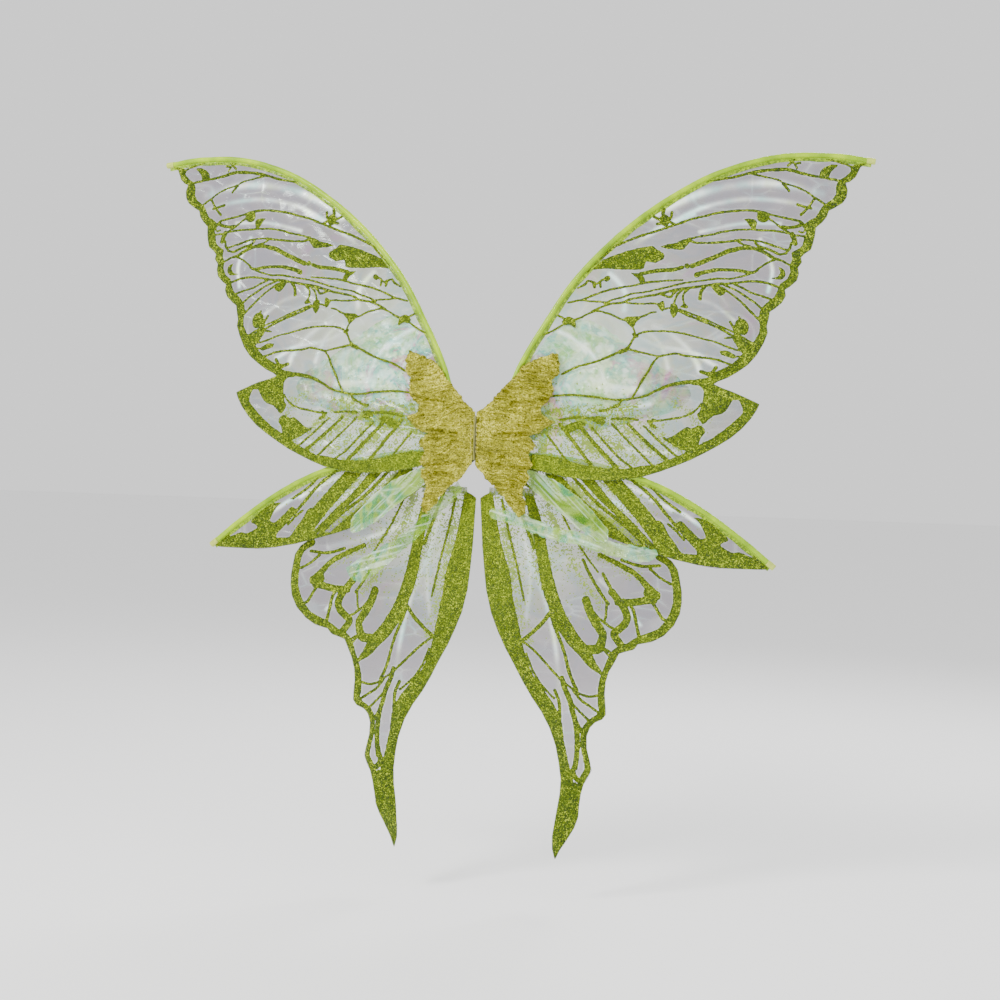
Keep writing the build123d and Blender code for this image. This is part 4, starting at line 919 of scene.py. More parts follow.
for name, mat in (("forewing_wire", WIRE_M), ("hindwing_wire", WIRE_M), ("forewing_cap", CAP_M), ("hindwing_cap", CAP_M)):
    for side in ("right", "left"):
        me = NODES[f"{side}_{name}"].data
        me.materials.clear()
        me.materials.append(mat)
me = NODES["back_board"].data
me.materials.clear()
me.materials.append(BOARD_M)

# ---- layer fields ------------------------------------------------------------------
F_BORDER_OUT = [(x, y) for x, y in F_EDGE]
F_OUT = FORE_WIRE + F_EDGE[1:] + F_LOBE[1:-1] + F_ROOT
H_OUT = HIND_WIRE + H_EDGE + [(33.0, -44.0)]
T_OUT = T_EDGE + T_INNER[1:] + TAIL_TOP

film_f = Field((10, -52), (486, 372), 1.0)
film_f.polygon(F_OUT, rounded=False)
film_h = Field((28, -156), (370, -12), 1.0)
film_h.polygon(H_OUT, rounded=False)
film_t = Field((0, -526), (262, -60), 1.0)
film_t.polygon(T_OUT, rounded=False)
wire_f = film_f.copy(400.0)
wire_f.stroke(FORE_WIRE, (0.0,), 420.0)
wire_h = film_h.copy(400.0)
wire_h.stroke(HIND_WIRE, (0.0,), 400.0)


def lattice(film, strokes, blobs, bands, seed, clear=None):
    f = film.copy()
    for w, pts in strokes:
        f.stroke(pts, [x + min(1.0, 0.22 * x) for x in w])
    for pts in blobs:
        f.polygon(pts, 6.0)
    for pts in bands:
        f.polygon(pts, 12.0, rounded=False)
    f.d = f.d + 0.35 * noise(f.S / 2.3, f.T / 2.3, seed) + 0.25 * noise(f.S / 6.0, f.T / 6.0, seed + 3)
    f.d = np.maximum(f.d, film.d + 0.3)
    return f


lat_f = lattice(film_f, F_STROKES, F_BLOBS,
                [F_EDGE + F_BORDER_IN[::-1], F_LOBE + F_LOBE_IN[::-1]], 3)
lat_h = lattice(film_h, H_STROKES, H_BLOBS, [], 5)
lat_t = lattice(film_t, T_STROKES, T_BLOBS, [], 7)
lat_f.d = np.maximum(lat_f.d, 3.9 - wire_f.d)
lat_h.d = np.maximum(lat_h.d, 3.9 - wire_h.d)
film_f.d = np.maximum(film_f.d, 2.6 - wire_f.d)
film_h.d = np.maximum(film_h.d, 2.6 - wire_h.d)


def sheen_of(film, strokes):
    """Painted highlight streaks: 1 on the line, fading to 0 at its width."""
    f = film.copy(0.0)
    for w, pts in strokes:
        g = film.copy(99.0)
        g.stroke(pts, (0.0,), w[0] * 1.6)
        f.d = np.maximum(f.d, np.exp(-(g.d / (0.50 * w[0])) ** 2))
    # the painted highlight streaks are broken up by noise, plus a faint net of thin painted highlights along noise
    # ridges
    f.d = f.d * (0.25 + 0.75 * smooth(-0.7, 0.5, noise(f.S / 60, f.T / 60, 15))) + 0.20 * np.exp(-(ridge(f.S / 60, f.T / 45, 16, 1) / 0.05) ** 2)
    return f


# painted highlight streaks for each layer, stored in the sheen attribute
sheen = {"F": sheen_of(film_f, F_SHEEN), "H": sheen_of(film_h, H_SHEEN), "T": sheen_of(film_t, T_SHEEN)}


def coarse(f, k=2):
    g = object.__new__(Field)
    g.step = f.step * k
    g.s, g.t = f.s[::k], f.t[::k]
    g.S, g.T, g.d = f.S[::k, ::k], f.T[::k, ::k], f.d[::k, ::k]
    return g


def slack_f(s, t, k):
    dw = wire_f.at(s, t)
    m = smooth(2.5, 45, dw) * smooth(60, 165, s)
    ang, rad = np.arctan2(t - 5, s - 10), np.hypot(s - 10, t - 5)
    v = 2.6 * fbm(s / 120, t / 120, 11 + k)
    v = v + 2.2 * (ridge(ang * 10 + 0.5 * noise(rad / 90, ang * 3, k), rad / 300, 21 + k, 1) - 0.3)
    v = v + 1.3 * (ridge(s / 26 + 0.4 * noise(s / 60, t / 60, k), t / 26, 31 + k, 2) - 0.28)
    pucker = 0.55 * smooth(2.5, 7, dw) * (1 - smooth(10, 34, dw)) * noise((s + t) / 5.5, (s - t) / 26, 41 + k)
    return m * v + pucker


def slack_h(s, t, k):
    dw = wire_h.at(s, t)
    m = smooth(2.5, 30, dw) * smooth(60, 140, s)
    v = 1.6 * fbm(s / 70, t / 70, 51 + k) + 1.4 * (ridge(s / 28 + t / 60, t / 22, 53 + k, 2) - 0.28)
    v = m * v
    return np.where(v < 0, v * 0.35, v) + 0.3 * smooth(2.5, 6, dw) * noise((s + t) / 6, (s - t) / 24, 57 + k)


def slack_t(s, t, k):
    m = smooth(20, 150, -66 - t)
    low = smooth(100, 400, -66 - t)
    v = 1.6 * fbm(s / 60, t / 90, 61 + k) + 1.3 * (ridge(s / 20 + t / 70, t / 40, 63 + k, 2) - 0.28)
    curl = np.sin(2 * np.pi * (s + 0.30 * t) / 62 + 0.9 * noise(s / 80, t / 120, 67 + k))
    v = m * (v + (1.0 + 2.6 * low) * curl)
    top = 1 - smooth(90, 190, -66 - t)
    return v - top * np.maximum(v, 0) - 0.35 * top * (1 - np.abs(noise(s / 6, t / 30, 69 + k))) * smooth(0, 12, -66 - t)


LACE = {"F": lat_f, "H": lat_h, "T": lat_t}


def dust_of(film, strokes, spread, level):
    """Bands of scattered glitter, thick on their lines, over a thin general sprinkle."""
    f = film.copy(0.0)
    for w, pts in strokes:
        g = film.copy(99.0)
        g.stroke(pts, (0.0,), w[0] * 1.5)
        f.d = np.maximum(f.d, np.exp(-(g.d / (0.52 * w[0])) ** 2))
    f.d = f.d * (0.75 + 0.35 * noise(f.S / 14, f.T / 14, 171)) * 1.25
    s0, t0, ws, wt = spread
    f.d = f.d + level * np.exp(-((f.S - s0) / ws) ** 2 - ((f.T - t0) / wt) ** 2)
    return f


DUST = {"F": dust_of(film_f, F_DUST, (105, -8, 105, 42), 0.75),
        "H": dust_of(film_h, H_DUST, (100, -70, 100, 50), 0.60),
        "T": dust_of(film_t, T_DUST, (60, -110, 80, 70), 0.45)}


def film_piece(name, field, layer, slack, side, k, core, material=None, node=None, body=None, flat=None,
               area=None, held="stretched", rests=()):
    s, t, d, faces, rim = coarse(field).mesh()
    h = slack(s, t, k)
    c = np.exp(-((s - core[0]) ** 2 + (t - core[1]) ** 2) / core[2] ** 2)
    # the sheen attribute carries the painted highlight streaks into the film material
    o = mesh_object(name, place(layer, s, t, h, side), faces, material or FILM, flip=(side < 0),
                    attributes={"core": c, "sheen": sheen[layer].at(s, t),
                                "lace": smooth(0.8, -0.6, LACE[layer].at(s, t)), "dust": DUST[layer].at(s, t)})
    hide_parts(node)
    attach(o, body)
    return o


def glitter_piece(name, field, layer, slack, side, k, node, body, thick=0.85):
    s, t, d, faces, rim = field.mesh()
    h = slack(s, t, k)
    crown = thick * (1 - np.exp(d / 0.9)) + 0.12 * noise(s / 1.6, t / 1.6, 91 + k) * smooth(0, 1.2, -d)
    top = place(layer, s, t, h + 0.14 + crown, side)
    low = place(layer, s, t, h + 0.06, side)
    nv = len(s)
    wall = np.vstack([np.stack([rim[:, 1], rim[:, 0], rim[:, 0] + nv], 1),
                      np.stack([rim[:, 1], rim[:, 0] + nv, rim[:, 1] + nv], 1)])
    o = mesh_object(name, np.vstack([top, low]), np.vstack([faces, faces[:, ::-1] + nv, wall]), GLITTER,
                    flip=(side < 0), attributes={"near": np.tile(np.exp(-np.hypot(s - 30, t + 20) / 145.0), 2)})
    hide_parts(node)
    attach(o, body)
    return o


def arc_path(points, per=14):
    return curve(points, per)[0]


def wing_tube(name, wire, layer, slack, side, k, nodes, body):
    p = arc_path(wire, 16)
    seg = np.r_[0, np.cumsum(np.hypot(*np.diff(p, axis=0).T))]
    at = np.arange(0, seg[-1], 2.0)
    s, t = np.interp(at, seg, p[:, 0]), np.interp(at, seg, p[:, 1])
    c = place(layer, s, t, np.zeros(len(s)), side)
    sides = 20
    a = np.arange(sides)[None, :] / sides * 2 * np.pi
    x = at[:, None]
    rad = 3.45 + 0.16 * noise(x / 13, a * 0 + k, 71 + k) + 0.10 * noise(x / 3.5, a * 1.6, 73 + k)
    rad = rad + 0.30 * np.exp(-((a - 1.3) / 0.22) ** 2)
    v, f = tube(c, rad * MM, sides)
    # welded flange of the casing, lying on the film
    ds, dt = np.gradient(s), np.gradient(t)
    ln = np.hypot(ds, dt)
    ins, int_ = dt / ln, -ds / ln
    wide = 7.8 + 0.6 * noise(at / 17, at * 0, 75 + k)
    cols = np.linspace(0, 1, 7)
    off = 2.6 + (wide[:, None] - 2.6) * cols[None]
    hs, ht = s[:, None] + ins[:, None] * off, t[:, None] + int_[:, None] * off
    hh_ = slack(hs.ravel(), ht.ravel(), k).reshape(hs.shape) + 0.45 + 0.25 * noise(at[:, None] / 3.0, cols[None] * 2, 77 + k)
    hv = place(layer, hs.ravel(), ht.ravel(), hh_.ravel(), side)
    nr, nc = hs.shape
    i, j = np.meshgrid(np.arange(nr - 1), np.arange(nc - 1), indexing="ij")
    q = (i * nc + j).ravel() + len(v)
    f = np.vstack([f, np.stack([q, q + nc, q + nc + 1, q + 1], 1)])
    v = np.vstack([v, hv])
    band = smooth(0.05, 0.45, np.tile(cols, nr)) * 0.9
    o = mesh_object(name, v, f, CASING, flip=(side < 0),
                    attributes={"flange": np.r_[np.zeros(len(v) - len(hv)), band]})
    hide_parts(*nodes)
    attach(o, body)
    return o


def stitches(name, path, lift, length, gap, radius, material, body):
    """Short raised threads along a path of points and outward directions, in metres."""
    path, lift = np.asarray(path, float), np.asarray(lift, float)
    seg = np.r_[0, np.cumsum(np.linalg.norm(np.diff(path, axis=0), axis=1))]
    V, F, n = [], [], 0
    x = gap / 2
    while x + length < seg[-1]:
        u = np.linspace(x, x + length, 6)
        c = np.stack([np.interp(u, seg, path[:, i]) for i in range(3)], 1)
        up = np.stack([np.interp(u, seg, lift[:, i]) for i in range(3)], 1)
        arch = np.sin(np.linspace(0, np.pi, 6))
        c = c + up * ((arch * 1.1 - 0.4) * radius)[:, None]
        tan = np.gradient(c, axis=0)
        tan /= np.linalg.norm(tan, axis=1)[:, None]
        side_v = np.cross(tan, up)
        side_v /= np.linalg.norm(side_v, axis=1)[:, None]
        up2 = np.cross(side_v, tan)
        a = np.arange(6) / 6 * 2 * np.pi
        rr_ = radius * (0.55 + 0.45 * arch)
        ring = c[:, None] + rr_[:, None, None] * (np.cos(a)[None, :, None] * side_v[:, None] + np.sin(a)[None, :, None] * up2[:, None])
        V.append(ring.reshape(-1, 3))
        i = np.arange(5)[:, None] * 6
        j = np.arange(6)[None]
        kk = (j + 1) % 6
        F.append(np.stack([i + j, i + kk, i + 6 + kk, i + 6 + j], -1).reshape(-1, 4) + n)
        n += 36
        x += length + gap
    o = mesh_object(name, np.vstack(V), np.vstack(F), material)
    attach(o, body)
    return o


# ---- the wings, both sides -----------------------------------------------------------
for side, word in ((1, "right"), (-1, "left")):
    k = 0 if side > 0 else 500
    wing, hind, tail = f"{word}_wing", f"{word}_hindwing", f"{word}_tail"
    ff = film_piece(f"{word}_forewing_film_sheet", film_f, "F", slack_f, side, k, (112, 66, 132), node=f"{word}_forewing_film", body=wing)
    gf = glitter_piece(f"{word}_forewing_glitter_lace", lat_f, "F", slack_f, side, k, f"{word}_forewing_glitter", wing)
    tf = wing_tube(f"{word}_forewing_casing", FORE_WIRE, "F", slack_f, side, k, [f"{word}_forewing_sleeve"], wing)

    hf = film_piece(f"{word}_hindwing_film_sheet", film_h, "H", slack_h, side, k, (90, -40, 90), node=f"{word}_hindwing_film", body=hind)
    gh = glitter_piece(f"{word}_hindwing_glitter_lace", lat_h, "H", slack_h, side, k, f"{word}_hindwing_glitter", hind)
    th = wing_tube(f"{word}_hindwing_casing", HIND_WIRE, "H", slack_h, side, k, [f"{word}_hindwing_sleeve"], hind)

    lf = film_piece(f"{word}_tail_film_sheet", film_t, "T", slack_t, side, k, (40, -90, 90), node=f"{word}_tail_film", body=tail)
    gt = glitter_piece(f"{word}_tail_glitter_lace", lat_t, "T", slack_t, side, k, f"{word}_tail_glitter", tail)

    # gathered top of the tail
    xs, zs = np.linspace(14, 74, 240), np.linspace(0, 1, 14)
    X, Z = np.meshgrid(xs, zs)
    tt = -60.2 - 8.6 * Z + 0.7 * noise(X / 3, Z * 0, 5 + k)
    gat = np.sin(X * 2 * np.pi / 4.4 + 1.6 * noise(X / 9, Z * 1.5, 7 + k))
    hh = 1.9 + 1.0 * gat * (0.55 + 0.45 * np.abs(2 * Z - 1))
    v = place("T", X.ravel(), tt.ravel(), hh.ravel(), side)
    i, j = np.meshgrid(np.arange(13), np.arange(239), indexing="ij")
    q = (i * 240 + j).ravel()
    f = np.stack([q, q + 1, q + 241, q + 240], 1)
    # a faint even painted highlight (sheen 0.05) over the gathered film
    hd = mesh_object(f"{word}_tail_gather", v, f, FILM, attributes={"core": np.full(len(v), 0.2), "sheen": np.full(len(v), 0.05),
                                                                         "lace": np.zeros(len(v)),
                                                                         "dust": np.full(len(v), 1.15)})
    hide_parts(f"{word}_tail_header")
    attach(hd, tail)
    row = np.linspace(15, 73, 80)
    st = stitches(f"{word}_tail_gather_stitches", place("T", row, np.full(80, -64.4), np.full(80, 2.6), side),
                  np.tile(basis("T")[3] * [side, 1, 1], (80, 1)), 0.0028, 0.0016, 0.00045, THREAD, tail)

    # loose iridescent film over the inner part of the upper wing
    ov = Field((55, 0), (262, 156), 1.25)
    ov.polygon(OVERLAY, rounded=True)
    ov.d = ov.d + 1.5 * noise(ov.S / 9, ov.T / 9, 81 + k) + 1.0
    ov.d = np.maximum(ov.d, 5.0 - wire_f.at(ov.S, ov.T))
    s, t, d, faces, rim = ov.mesh()
    cr = (ridge(s / 17 + 0.6 * noise(s / 25, t / 25, 83 + k), t / 13, 85 + k, 3)
          + 0.5 * ridge((s + t) / 9, (s - t) / 15, 87 + k, 2))
    h = slack_f(s, t, k) - 0.7 - (1.6 + 3.6 * smooth(95, 150, s)) * cr - 1.5 * smooth(0, 10, 10 + d) * smooth(110, 200, s)
    h = np.where(s < 98, np.maximum(h, -3.6), h)
    core = np.exp(-((s - 110) ** 2 + (t - 70) ** 2) / 90**2)
    # the sheen attribute paints highlights along the crinkle crests, on top of the wing's painted highlight streaks
    oo = mesh_object(f"{word}_forewing_crinkled_overlay", place("F", s, t, h, side), faces, CRINKLE, flip=(side < 0),
                     attributes={"core": 0.35 + 0.65 * core,
                                 "sheen": np.clip(sheen["F"].at(s, t) + 0.9 * smooth(0.5, 0.8, cr), 0, 1)})
    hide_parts(f"{word}_forewing_overlay")
    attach(oo, wing)

    # loose film ends hanging out from under the gold
    out = STREAMER_R if side > 0 else STREAMER_L
    p = np.array(out)
    sf = Field(p.min(0) - 5, p.max(0) + 5, 0.9)
    sf.polygon(out, rounded=True)
    sf.d = sf.d + 1.3 * noise(sf.S / 6, sf.T / 6, 101 + k) + 0.4
    s, t, d, faces, rim = sf.mesh()
    h = 7.0 + 2.6 * (ridge(s / 9 + 0.5 * noise(s / 12, t / 12, 103 + k), t / 7, 105 + k, 3) - 0.3) * 2.0
    h = h + 3.0 * smooth(60, 200, s) * np.sin(s / 14.0 + k)
    # sheen here: painted highlight streaks along thin noise bands
    so = mesh_object(f"{word}_streamer_ribbon", place("H", s, t, h, side), faces, LOOSE, flip=(side < 0),
                     attributes={"core": np.full(len(s), 0.9),
                                 "sheen": 0.5 * smooth(0.5, 0.8, np.abs(noise(s / 44 + t / 60, (t + 0.3 * s) / 3.6, 107 + k)))})
    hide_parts(f"{word}_streamer")
    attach(so, body_of(NODES[f"{word}_streamer"])[0])
    w_, l_ = p.max(0) - p.min(0)

    p2 = np.array(STREAMER_2)
    s2 = Field(p2.min(0) - 5, p2.max(0) + 5, 0.9)
    s2.polygon(STREAMER_2)
    s2.d = s2.d + 1.2 * noise(s2.S / 6, s2.T / 6, 161 + k) + 0.2
    s, t, d, faces, rim = s2.mesh()
    run = (s - t) / 1.4
    h = 6.2 + 3.2 * (ridge(run / 40, (s + t) / 8, 163 + k, 2) - 0.3) + 1.6 * smooth(-3, 0, d)
    # sheen here: painted highlights along the edge of the fold and along thin noise bands
    s3 = mesh_object(f"{word}_streamer_fold", place("H", s, t, h, side), faces, LOOSE, flip=(side < 0),
                     attributes={"core": np.full(len(s), 0.8), "sheen": 0.25 * smooth(-1.2, -0.3, d) + 0.45 * smooth(0.5, 0.8, np.abs(noise(run / 50, (s + t) / 3.4, 109 + k)))})
    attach(s3, body_of(NODES[f"{word}_streamer"])[0])

    # gathered gold cover
    gf_ = Field((-2, -102), (106, 112), 0.8)
    gf_.polygon(GOLD, rounded=False)
    gf_.d = gf_.d + 1.1 * noise(gf_.S / 3.6, gf_.T / 3.6, 111 + k) + 0.6 * noise(gf_.S / 9, gf_.T / 9, 113 + k) - 0.3
    gf_.d = np.maximum(gf_.d, 0.4 - gf_.S)
    s, t, d, faces, rim = gf_.mesh()
    wob = 3.1 * noise(s / 21, t / 16, 115 + k) + 1.3 * noise(s / 8, t / 8, 116 + k)
    lean = t + 0.16 * s + wob
    w1 = np.abs(np.sin(np.pi * lean / 9.5))
    w2 = np.abs(np.sin(np.pi * (lean + 0.1 * s) / 4.3 + 1.8 * noise(s / 11, t / 7, 117 + k)))
    fine = ridge(s / 5, t / 2.4, 119 + k, 2)
    broken = 0.35 + 0.65 * smooth(-0.4, 0.4, noise(s / 15, t / 9, 118 + k))
    gath = np.exp(-np.maximum(s - 3, 0) / 9.0) * np.abs(noise(s / 2.6, t / 26, 120 + k))
    amp = 0.55 + 0.45 * smooth(4, 40, s)
    h = 5.2 + amp * (4.6 * broken * (1 - w1) ** 1.4 + 1.6 * (1 - w2) + 1.3 * fine) + 2.4 * gath
    for f_ in ([(94, 21), (78, 9), (52, 5), (24, 3)], [(66, -39), (44, -36), (22, -34)], [(88, 48), (66, 44), (44, 42)]):
        g = gf_.copy(99.0)
        g.stroke(f_, (0.0,), 14.0)
        dd = g.at(s, t)
        h = h - 3.0 * np.exp(-((dd - 0.5) / 2.0) ** 2) + 2.4 * np.exp(-((dd - 5.0) / 3.0) ** 2)
    h = np.maximum(h, 4.9) + 1.6 * smooth(0, 6, 6 + d) * noise(s / 8, t / 5, 121 + k)
    # painted shade mask: high in the wrinkle valleys, plus (below) where the gold sits low
    valley_shade = smooth(0.55, 1.0, w1) * broken * 0.7 + 0.5 * smooth(0.7, 1.0, w2) * (1 - fine)
    P = place("F", s, t, h, 1)
    lim = -0.042 - 0.33 * np.maximum(P[:, 0] - 0.0007, 0) + 0.0003 + 0.0012 * np.abs(noise(t / 3.2, s / 9, 123 + k))
    P[:, 1] = np.maximum(P[:, 1], lim)
    P[:, 0] = np.maximum(P[:, 0], 0.0005) * side
    go = mesh_object(f"{word}_centre_gold", P, faces, GOLD_M, flip=(side < 0),
                     attributes={"painted_valley_shade": np.clip(valley_shade + 0.6 * smooth(6.5, 5.0, h), 0, 1)})
    th_ = go.modifiers.new("thickness", "SOLIDIFY")
    th_.thickness, th_.offset = 0.0004, -1.0
    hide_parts(f"{word}_centre_cover")
    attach(go, wing)
    z = np.linspace(-0.019, 0.019, 60)
    lift = np.tile([0.0, -1.0, 0.0], (60, 1))
    cs = stitches(f"{word}_centre_stitches", np.stack([np.full(60, side * 0.0035), np.full(60, -0.0424), z], 1), lift,
                  0.0034, 0.0018, 0.0005, GOLD_THREAD, wing)

    # backing cloth behind the film
    bf = Field((2, -6), (94, 100), 1.25)
    bf.polygon(BACKING, rounded=False)
    s, t, d, faces, rim = bf.mesh()
    h = -4.6 + 0.35 * noise(s / 9, t / 9, 131 + k) - 0.25 * smooth(-4, 0, d)
    bo = mesh_object(f"{word}_centre_backing_cloth", place("F", s, t, h, side), faces, BACKCLOTH, flip=(side < 0))
    th_ = bo.modifiers.new("thickness", "SOLIDIFY")
    th_.thickness, th_.offset = 0.0006, 0.0
    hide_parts(f"{word}_centre_backing")
    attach(bo, wing)
    inner = bf.copy()
    p = curve(BACKING + [BACKING[0]], 8)[0]
    mid = p.mean(0)
    p = mid + (p - mid) * 0.93
    bs = stitches(f"{word}_centre_backing_stitches", place("F", p[:, 0], p[:, 1], np.full(len(p), -5.1), side),
                  np.tile(-basis("F")[3] * [side, 1, 1], (len(p), 1)), 0.0032, 0.002, 0.0004, THREAD, wing)

    # ribbed elastic shoulder loop
    pts = [(-1.5, 30.0), (34.0, 40.0), (84.0, 40.0), (124.0, 22.0), (124.0, -22.0), (84.0, -40.0), (34.0, -40.0), (-1.5, -30.0)]
    bends = [60.0, 90.0, 26.0, 26.0, 90.0, 60.0]
    path = [np.array(pts[0])]
    for a_, b_, c_, rad in zip(pts, pts[1:], pts[2:], bends):
        a_, b_, c_ = map(np.array, (a_, b_, c_))
        u1, u2 = (a_ - b_) / np.linalg.norm(a_ - b_), (c_ - b_) / np.linalg.norm(c_ - b_)
        half = math.acos(float(np.clip(u1 @ u2, -1, 1))) / 2
        run = rad / math.tan(half)
        cen = b_ + (u1 + u2) / np.linalg.norm(u1 + u2) * rad / math.sin(half)
        p0, p1 = b_ + u1 * run, b_ + u2 * run
        g0, g1 = math.atan2(*(p0 - cen)[::-1]), math.atan2(*(p1 - cen)[::-1])
        dg = (g1 - g0 + math.pi) % (2 * math.pi) - math.pi
        for q_ in np.linspace(0, 1, 24):
            path.append(cen + rad * np.array([math.cos(g0 + dg * q_), math.sin(g0 + dg * q_)]))
    path.append(np.array(pts[-1]))
    path = np.array(path)
    seg = np.r_[0, np.cumsum(np.linalg.norm(np.diff(path, axis=0), axis=1))]
    at = np.arange(0, seg[-1], 0.8)
    y, z = np.interp(at, seg, path[:, 0]), np.interp(at, seg, path[:, 1])
    ty, tz = np.gradient(y), np.gradient(z)
    ln = np.hypot(ty, tz)
    ny_, nz_ = -tz / ln, ty / ln
    wx = np.linspace(-6, 6, 37)
    top = 0.66 + 0.16 * np.abs(np.sin(np.pi * wx / 1.5)) * (1 - smooth(5.2, 6.0, np.abs(wx)))
    weave = 0.06 * np.sin(at * 2 * np.pi / 2.4)[:, None] * np.cos(np.pi * wx / 0.75)[None]
    slackv = 0.35 * np.sin(at / 31 + k)[:, None] * smooth(0, 40, at)[:, None] * smooth(0, 40, seg[-1] - at)[:, None]
    wide = (1 - 0.03 * (1 + noise(at / 22, at * 0, 7 + k)))[:, None]
    rows = []
    for sign in (1, -1):
        hgt = slackv + sign * (top[None] + weave)
        xx = (0.0505 * 1000 + wx[None] * wide[:, :1] * np.ones_like(hgt))
        rows.append(np.stack([xx * side, y[:, None] + ny_[:, None] * hgt, z[:, None] + nz_[:, None] * hgt], -1))
    ring = np.concatenate([rows[0], rows[1][:, ::-1]], 1) * MM
    nr, nc = ring.shape[:2]
    i = np.arange(nr - 1)[:, None] * nc
    j = np.arange(nc)[None]
    kk = (j + 1) % nc
    f = np.stack([i + j, i + kk, i + nc + kk, i + nc + j], -1).reshape(-1, 4)
    eo = mesh_object(f"{word}_shoulder_elastic", ring.reshape(-1, 3), f, ELASTIC, flip=(side > 0))
    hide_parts(f"{word}_strap")
    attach(eo, f"{word}_shoulder_loop")

    # sewn lugs
    V, F, base = [], [], 0
    for zc in (30.0, -30.0):
        lg = Field((-2.6, -5.6), (2.6, 5.6), 0.25)
        lg.polygon([(-2, -5), (2, -5), (2, 5), (-2, 5)], rounded=False)
        s, t, d, faces, rim = lg.mesh()
        hgt = -6.0 + 2.8 * (1 - np.exp(d / 0.35)) - 0.15 * np.abs(np.sin(t * np.pi / 1.1))
        topv = np.stack([(50.5 + s) * side, hgt, zc + t], 1)
        lowv = np.stack([(50.5 + s) * side, np.full(len(s), -6.0), zc + t], 1)
        nv = len(s)
        wall = np.vstack([np.stack([rim[:, 1], rim[:, 0], rim[:, 0] + nv], 1), np.stack([rim[:, 1], rim[:, 0] + nv, rim[:, 1] + nv], 1)])
        V.append(np.vstack([topv, lowv]) * MM)
        F.append(np.vstack([faces, faces[:, ::-1] + nv, wall]) + base)
        base += 2 * nv
    lo_ = mesh_object(f"{word}_strap_tabs", np.vstack(V), np.vstack(F), ELASTIC, flip=(side > 0))
    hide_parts(f"{word}_strap_lugs")
    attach(lo_, "back_panel")

# ---- pad and hinge tape ------------------------------------------------------------------
pf = Field((-46, -46), (46, 46), 0.8)
def waisted(width, height, waist=22.0, notch=26.0):
    x, z = width / 2, height / 2
    return [(-x, -z), (-notch, -z), (0, -waist), (notch, -z), (x, -z), (x, z), (notch, z), (0, waist), (-notch, z), (-x, z)]


pf.polygon(waisted(84.0, 84.0), rounded=False)
for _ in range(60):
    q = pf.d
    pf.d = (q + np.roll(q, 1, 0) + np.roll(q, -1, 0) + np.roll(q, 1, 1) + np.roll(q, -1, 1)) / 5
pf.d = pf.d + 0.9 + 0.25 * noise(pf.S / 5, pf.T / 5, 141)
s, t, d, faces, rim = pf.mesh()
hgt = -6.0 + 5.0 * (1 - np.exp(d / 1.6)) + 1.5 * (1 - np.exp(np.minimum(d + 6, 0) / 14.0)) - 1.3 * np.exp(-((d + 5.5) / 1.0) ** 2)
hgt = hgt + 0.16 * noise(s / 2.2, t / 2.2, 143) + 0.3 * noise(s / 14, t / 14, 145) * smooth(0, 8, -d)
nv = len(s)
wall = np.vstack([np.stack([rim[:, 1], rim[:, 0], rim[:, 0] + nv], 1), np.stack([rim[:, 1], rim[:, 0] + nv, rim[:, 1] + nv], 1)])
po = mesh_object("back_pad_felt", np.vstack([np.stack([s, hgt, t], 1), np.stack([s, np.full(nv, -6.0), t], 1)]) * MM,
                 np.vstack([faces, faces[:, ::-1] + nv, wall]), FELT, flip=True)
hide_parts("back_pad")
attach(po, "back_panel")
loop_ = np.array(waisted(73.0, 73.0, 15.5, 24.0) + waisted(73.0, 73.0, 15.5, 24.0)[:1])
seg = np.r_[0, np.cumsum(np.hypot(*np.diff(loop_, axis=0).T))]
uu_ = np.linspace(0, seg[-1], 500)
rx, rz = np.interp(uu_, seg, loop_[:, 0]), np.interp(uu_, seg, loop_[:, 1])
for _ in range(8):
    rx, rz = (np.roll(rx, 1) + rx + np.roll(rx, -1)) / 3, (np.roll(rz, 1) + rz + np.roll(rz, -1)) / 3
ps = stitches("back_pad_stitches", np.stack([rx, np.full(500, -1.7), rz], 1) * MM, np.tile([0.0, 1.0, 0.0], (500, 1)),
              0.0034, 0.002, 0.0005, THREAD, "back_panel")

prof = [(-14.0, -8.5), (-7.0, -8.6), (-1.4, -8.7), (-0.45, -9.8), (-0.35, -14.0), (-0.35, -41.4), (0.0, -41.9), (0.35, -41.4),
        (0.35, -14.0), (0.45, -9.8), (1.4, -8.7), (7.0, -8.6), (14.0, -8.5)]
pr = np.array(prof)
seg = np.r_[0, np.cumsum(np.hypot(*np.diff(pr, axis=0).T))]
at = np.unique(np.r_[np.arange(0, seg[-1], 0.9), seg])
px_, py_ = np.interp(at, seg, pr[:, 0]), np.interp(at, seg, pr[:, 1])
zz = np.arange(-27, 27.01, 1.0)
X, Z = np.meshgrid(px_, zz)
Y = np.tile(py_, (len(zz), 1)) - 0.12 * np.abs(noise(X / 1.1, Z / 1.1, 151)) * (np.abs(X) > 1.0)
nc = len(at)
i, j = np.meshgrid(np.arange(len(zz) - 1), np.arange(nc - 1), indexing="ij")
q = (i * nc + j).ravel()
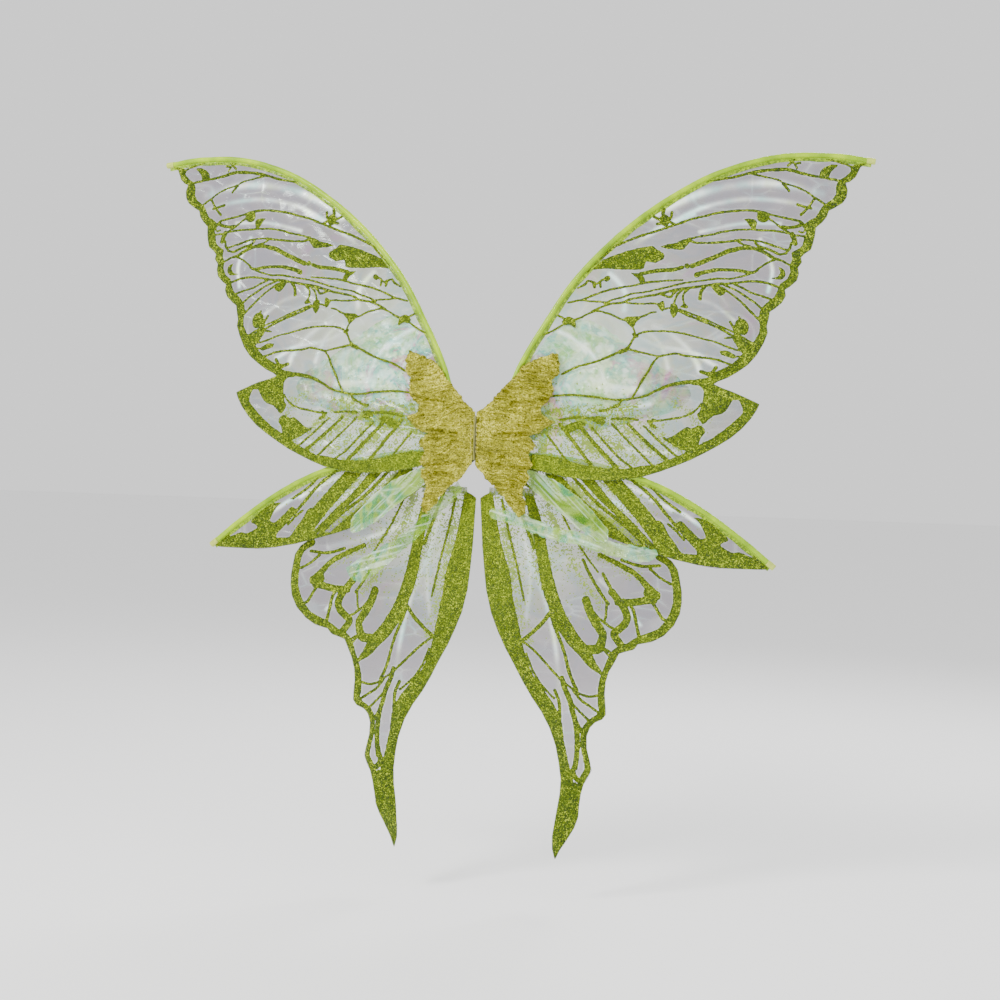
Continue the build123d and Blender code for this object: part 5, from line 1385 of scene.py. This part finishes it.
to = mesh_object("hinge_tape_folded", np.stack([X.ravel(), Y.ravel(), Z.ravel()], 1) * MM,
                 np.stack([q, q + 1, q + nc + 1, q + nc], 1), TAPE)
th_ = to.modifiers.new("thickness", "SOLIDIFY")
th_.thickness, th_.offset = 0.0003, 0.0
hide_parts("hinge_tape")
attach(to, "back_panel")
for x_ in (-11.5, 11.5):
    z = np.linspace(-0.0255, 0.0255, 80)
    stitches(f"hinge_tape_stitches_{'right' if x_ > 0 else 'left'}", np.stack([np.full(80, x_ * MM), np.full(80, -0.0089), z], 1),
             np.tile([0.0, -1.0, 0.0], (80, 1)), 0.0034, 0.0018, 0.00045, THREAD, "back_panel")

# ---- floor and light -----------------------------------------------------------------------
me = bpy.data.meshes.new("floor")
me.from_pydata([(-14, -14, -0.575), (14, -14, -0.575), (14, 14, -0.575), (-14, 14, -0.575)], [], [(0, 1, 2, 3)])
floor = bpy.data.objects.new("floor", me)
bpy.context.scene.collection.objects.link(floor)
fm = Mat("floor", Roughness=0.9)
fm.b.inputs["Base Color"].default_value = (0.92, 0.92, 0.92, 1)
me.materials.append(fm.m)

world = bpy.data.worlds.new("studio")
bpy.context.scene.world = world
world.use_nodes = True
bg = world.node_tree.nodes["Background"]
bg.inputs["Color"].default_value = (1.0, 1.0, 1.0, 1)
bg.inputs["Strength"].default_value = 1.15


def light(name, loc, target, size, power, colour=(1, 1, 1)):
    d = bpy.data.lights.new(name, "AREA")
    d.shape, d.size, d.size_y = "RECTANGLE", size[0], size[1]
    d.energy, d.color = power, colour
    o = bpy.data.objects.new(name, d)
    o.location = loc
    o.rotation_mode = "QUATERNION"
    o.rotation_quaternion = (Vector(target) - Vector(loc)).to_track_quat("-Z", "Y")
    bpy.context.scene.collection.objects.link(o)
    return o


light("key", (-1.3, -2.2, 1.7), (0, 0, 0), (0.9, 0.9), 120, (1.0, 0.985, 0.96))
light("fill", (2.2, -1.8, 0.6), (0, 0, 0), (1.6, 1.6), 30, (0.95, 0.98, 1.0))
light("rim", (0.6, 1.9, 1.4), (0, 0, 0), (1.4, 0.8), 45)
